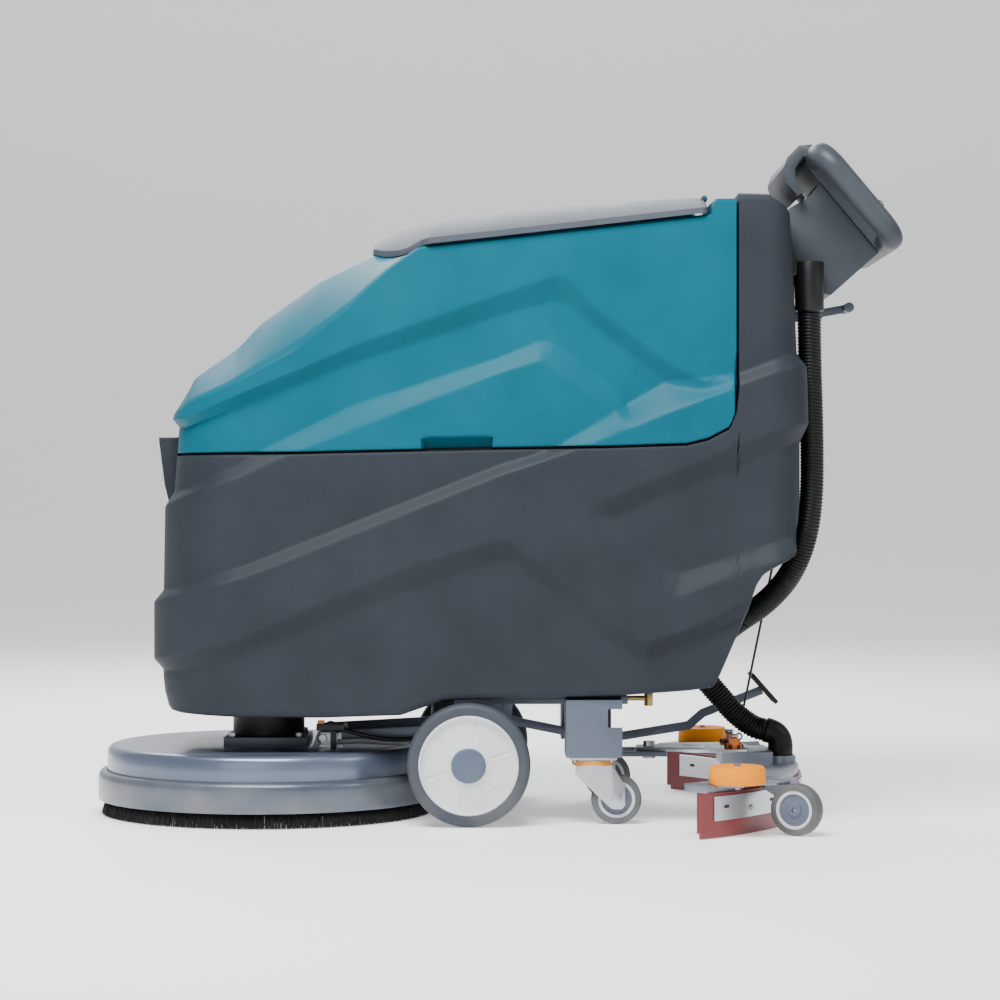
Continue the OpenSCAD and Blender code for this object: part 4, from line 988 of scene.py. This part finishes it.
for side, word in ((-1, "left"), (1, "right")):
    eased(f"{word}_caster_fork", 0.7, zinc)
    trolley_wheel(f"{word}_caster", f"{word}_caster_wheel", f"{word}_caster", (180, side * 180, 38.5),
                  (0, 1, 0), 77, 24)
    seal = Shape().lathe([(30.6, 92), (32.2, 92.6), (32.6, 95.5), (32.2, 98.4), (30.6, 99.2)],
                         (144, side * 180, 0),
                         sides=72, ring=True)
    piece(f"{word}_caster_seal", seal, seal_orange, f"{word}_swivel")
    bolts = Shape()
    for a in (-28, 28):
        for b in (-22, 22):
            bolts.lathe([(6.2, 104), (6.2, 108), (5.4, 108.6), (0.2, 108.6)], (144 + a, side * 180 + b, 0),
                        sides=6)
            bolts.lathe([(0.2, 96), (3.4, 96), (3.4, 104), (0.2, 104)], (144 + a, side * 180 + b, 0),
                        sides=16)
    piece(f"{word}_caster_bolts", bolts, zinc, "chassis", crisp=25)

# Painted shade: a thin black sheet under the tank between the wheels, standing in for the shadow there.
piece("underside_shade_sheet", Shape().box((-146, -196, 193), (-70, 196, 196), 1.0), underside_shade_black, "chassis")

# ---------- what is inside the body ----------
# Two sealed traction batteries, the vacuum motor on its shelf, the speed controller on the column
# wall and the float that shuts the suction off. They show when the tanks are tilted.

battery_black = coat("battery_black", (22, 24, 27), 0.5, grain=(300, 0.1), dust=0.2)
cast_alloy = coat("cast_alloy", (120, 125, 131), 0.45, metal=0.6, grain=(300, 0.15))
brass = coat("brass", (176, 148, 92), 0.3, metal=0.9, grain=(300, 0.08), faded=(160, 132, 80))

for node, finish, slot in (("batteries", battery_black, "battery_black"),
                           ("vacuum_motor", black_plastic, "motor_black"),
                           ("controller", cast_alloy, "steel"),
                           ("float_cage", black_plastic, "black_plastic"),
                           ("water_filter", black_plastic, "black_plastic"), ("tank_hinges", zinc, "zinc"),
                           ("drain_valve", brass, "brass")):
    eased(node, 1.2, finish)

# ---------- deck lift and pedal ----------
# A flat steel lever welded on the cross shaft; treading on its pad raises the deck. On the deck, the
# arms end in a clevis, beside the motor's plug and the solution hose with its spray tube.

pad_rubber = coat("pad_rubber", (26, 28, 31), 0.7, grain=(300, 0.25), dust=0.3)
tube_grey = coat("tube_grey", (120, 127, 138), 0.4, grain=None)
tube_black = coat("tube_black", (14, 15, 17), 0.4, grain=None, specular=0.4)

eased("deck_lift_arm", 0.9, frame_paint)
eased("pedal_pad", 1.6, pad_rubber)

clevis = Shape()
for s in (-1, 1):
    clevis.box((-278, s * 92 - 13, 110), (-246, s * 92 - 7, 134), 1.0).box((-278, s * 92 + 7, 110),
                                                                           (-246, s * 92 + 13, 134), 1.0)
    clevis.box((-280, s * 92 - 15, 109.6), (-244, s * 92 + 15, 114), 0.8)
    clevis.lathe([(0.2, -18), (5.6, -18), (6.2, -17), (6.2, -13.4), (0.2, -13.4)], (-275, s * 92, 125),
                 (0, 1, 0), sides=24)
    clevis.lathe([(0.2, 13.4), (6.2, 13.4), (6.2, 17), (5.6, 18), (0.2, 18)], (-275, s * 92, 125), (0, 1, 0),
                 sides=24)
piece("lift_clevis", clevis, zinc, "deck", crisp=25)

plug = Shape().box((-284, -128, 138), (-240, -108, 149), 1.5).box((-262, -126, 110), (-254, -112, 139), 1.0)
piece("motor_plug", plug, black_plastic, "deck", crisp=25)
piece("plug_lock", Shape().box((-282, -130, 149), (-271, -118, 154), 0.8), seal_orange, "deck",
      crisp=25)
for name, finish, y, z, route in (
        ("solution_tube", tube_grey, -100, 0, [(-252, -104, 119), (-215, -106, 121), (-170, -104, 118),
                                               (-128, -98, 117), (-112, -92, 122)]),
        ("motor_lead", tube_black, -100, 0, [(-250, -118, 142), (-215, -122, 132), (-172, -116, 124),
                                             (-130, -104, 124), (-112, -96, 128)])):
    line, run = flowing(route, 3)
    piece(name, Shape().tube(line, 4.2 if finish is tube_grey else 3.4, 14), finish, "deck")

# ---------- squeegee ----------
# A bent aluminium channel that carries two red rubber blades, each held by a stainless strap
# with slots. It swings under a plate on the lifting yoke and rides on two grey wheels.

blade_red = coat("blade_red", (112, 8, 24), 0.42, grain=None, dust=0.15, clear=0.2)
stainless = coat("stainless", (196, 200, 202), 0.28, metal=0.85, grain=(200, 0.06), faded=(180, 184, 187))
alloy = coat("squeegee_alloy", (122, 129, 140), 0.36, metal=0.6, grain=(260, 0.1), dust=0.2)
bumper_yellow = coat("bumper_yellow", (230, 136, 0), 0.5, grain=(400, 0.08), specular=0.15)
nut_orange = coat("nut_orange", (214, 104, 2), 0.42, grain=None)
# the blade's red seen through the strap's slots, made darker by painted shade of the recess
slot_shade_red = coat("slot_shade_red", (60, 12, 18), 0.6, grain=None)

ARC_X = -20.0


def arc_strip(r0, r1, z0, z1, half, edge=0.5, n=90):
    """A curved strip about the squeegee's centre, its long edges eased."""
    section = [(r0, z0 + edge), (r0 + edge, z0), (r1 - edge, z0), (r1, z0 + edge), (r1, z1 - edge),
               (r1 - edge, z1),
               (r0 + edge, z1), (r0, z1 - edge)]
    rows = []
    for a in np.linspace(-half, half, n):
        c, s = math.cos(math.radians(a)), math.sin(math.radians(a))
        rows.append([(ARC_X + r * c, r * s, z) for r, z in section])
    return Shape().grid(rows)


piece("rear_blade_cast", arc_strip(496, 500, 1, 67, 51), blade_red, "squeegee", "rear_blade")
piece("front_blade_cast", arc_strip(444, 448, 1, 67, 45), blade_red, "squeegee", "front_blade")
straps = arc_strip(500.2, 502.2, 26, 62, 48, 0.4)
front_strap = arc_strip(441.8, 443.8, 26, 62, 42, 0.4)
base = len(straps.v)
straps.v += front_strap.v
straps.f += [tuple(i + base for i in f) for f in front_strap.f]
piece("blade_straps_pressed", straps, stainless, "squeegee", "blade_straps")


def strap_marks(r, out, angles, zs, long, high, proud):
    """Slotted holes, or screw heads where long equals high, along a curved strap."""
    shape = Shape()
    for a in angles:
        t = math.radians(a)
        n = np.array((math.cos(t), math.sin(t), 0)) * out
        side = np.array((-math.sin(t), math.cos(t), 0))
        for z in zs:
            centre = np.array((ARC_X, 0, z)) + n * out * r
            rim = []
            for b in np.linspace(0, 2 * math.pi, 20, endpoint=False):
                shift = (long - high) / 2 * (1 if math.cos(b) > 0 else -1)
                rim.append((shift + high / 2 * math.cos(b), high / 2 * math.sin(b)))
            rows = [[centre + n * h + side * u * k + np.array((0, 0, v * k)) for u, v in rim]
                    for h, k in ((-0.5, 1), (proud * 0.7, 1), (proud, 0.86))]
            shape.grid(rows)
    return shape


# Flat slot marks on the rear strap: the red blade behind, with painted shade making it darker.
piece("strap_slots", strap_marks(502.2, 1, (-45, -31, -18, -6, 6, 18, 31, 45), (46,), 12, 5, 0.25), slot_shade_red,
      "squeegee", crisp=25)
piece("strap_screws", strap_marks(502.2, 1, (-38, -25, -12, 0, 12, 25, 38), (40,), 8, 8, 2.4), zinc,
      "squeegee",
      crisp=25)
# The same slot marks on the front strap, made darker by painted shade.
piece("front_strap_slots", strap_marks(441.8, -1, (-38, -26, -13, 0, 13, 26, 38), (46,), 12, 5, 0.25),
      slot_shade_red,
      "squeegee", crisp=25)

eased("squeegee_body", 0.8, alloy)
eased("squeegee_yoke", 1.0, frame_paint)
eased("swing_plate", 0.7, stainless)
eased("suction_elbow", 1.0, hose_vinyl)
eased("thumb_nuts", 1.6, nut_orange)
for side, word in ((-1, "left"), (1, "right")):
    bumper = Shape().lathe([(5.3, 78.4), (38, 78.4), (41.2, 79.4), (42, 81.5), (41.6, 93), (40.6, 101.5),
                            (39.6, 104),
                            (37, 105), (24, 105), (22.6, 103.6), (14, 103.4), (12.6, 105), (5.3, 105)],
                           (351, side * 350, 0), sides=96, ring=True)
    piece(f"{word}_bumper_moulded", bumper, bumper_yellow, f"{word}_bumper", f"{word}_bumper",
          crisp=45)
    toe = math.radians(28) * side
    trolley_wheel(f"{word}_squeegee_wheel", f"{word}_squeegee_wheel", f"{word}_squeegee_wheel",
                  (441, side * 330, 38.5), (-math.sin(toe), math.cos(toe), 0), 77, 24)
    nut = Shape().lathe([(0.2, 120.6), (5.5, 120.6), (7.5, 121.8), (7.5, 124.6), (6, 126), (0.2, 126)],
                        (372, side * 46, 0), sides=24)
    piece(f"{word}_nut_top", nut, zinc, "squeegee")
    knob = Shape()
    rim = [((13 + 2.4 * math.cos(6 * a)) * math.cos(a), (13 + 2.4 * math.cos(6 * a)) * math.sin(a))
           for a in np.linspace(0, 2 * math.pi, 72, endpoint=False)]
    knob.grid([[(372 + k * u, side * 46 + k * v, z) for u, v in rim] for z, k in
               ((103.4, 0.9), (104.2, 1), (109.4, 1), (110.4, 0.92))])
    piece(f"{word}_star_knob", knob, black_plastic, "squeegee")

# ---------- handle, controls, hose cuff and lever ----------
# A closed steel-cored handle ring moulded over in grey, around a console with the switch panel. The
# squeegee is raised by a flat steel lever below, and the suction hose plugs into a ribbed cuff.

head_grey = coat("head_grey", (52, 57, 64), 0.42, grain=(620, 0.22), specular=0.3)
panel_dark = coat("panel_dark", (30, 33, 38), 0.35, grain=None)
button_red = coat("button_red", (178, 18, 30), 0.3, grain=None, clear=0.4)
chrome = coat("chrome", (210, 212, 214), 0.15, metal=1.0, grain=None)
rocker_black = coat("rocker_black", (16, 17, 19), 0.35, grain=None)

for node, rim, finish, slot in (
        ("control_neck", 2.4, head_grey, "head_grey"), ("control_head", 4.0, head_grey, "head_grey"),
        ("control_panel", 0.5, panel_dark, "panel_dark"), ("stop_button", 2.0, button_red, "button_red"),
        ("key", 0.5, chrome, "chrome"), ("brush_switch", 0.7, rocker_black, "black_plastic"),
        ("vacuum_switch", 0.7, rocker_black, "black_plastic"),
    ("filler_cap", 1.0, black_plastic, "black_plastic"),
        ("lever_bracket", 0.7, frame_paint, "frame_blue_grey"),
    ("lift_lever", 1.2, frame_paint, "frame_blue_grey"),
        ("hose_cuff", 1.2, tube_black, "hose_black")):
    eased(node, rim, finish)
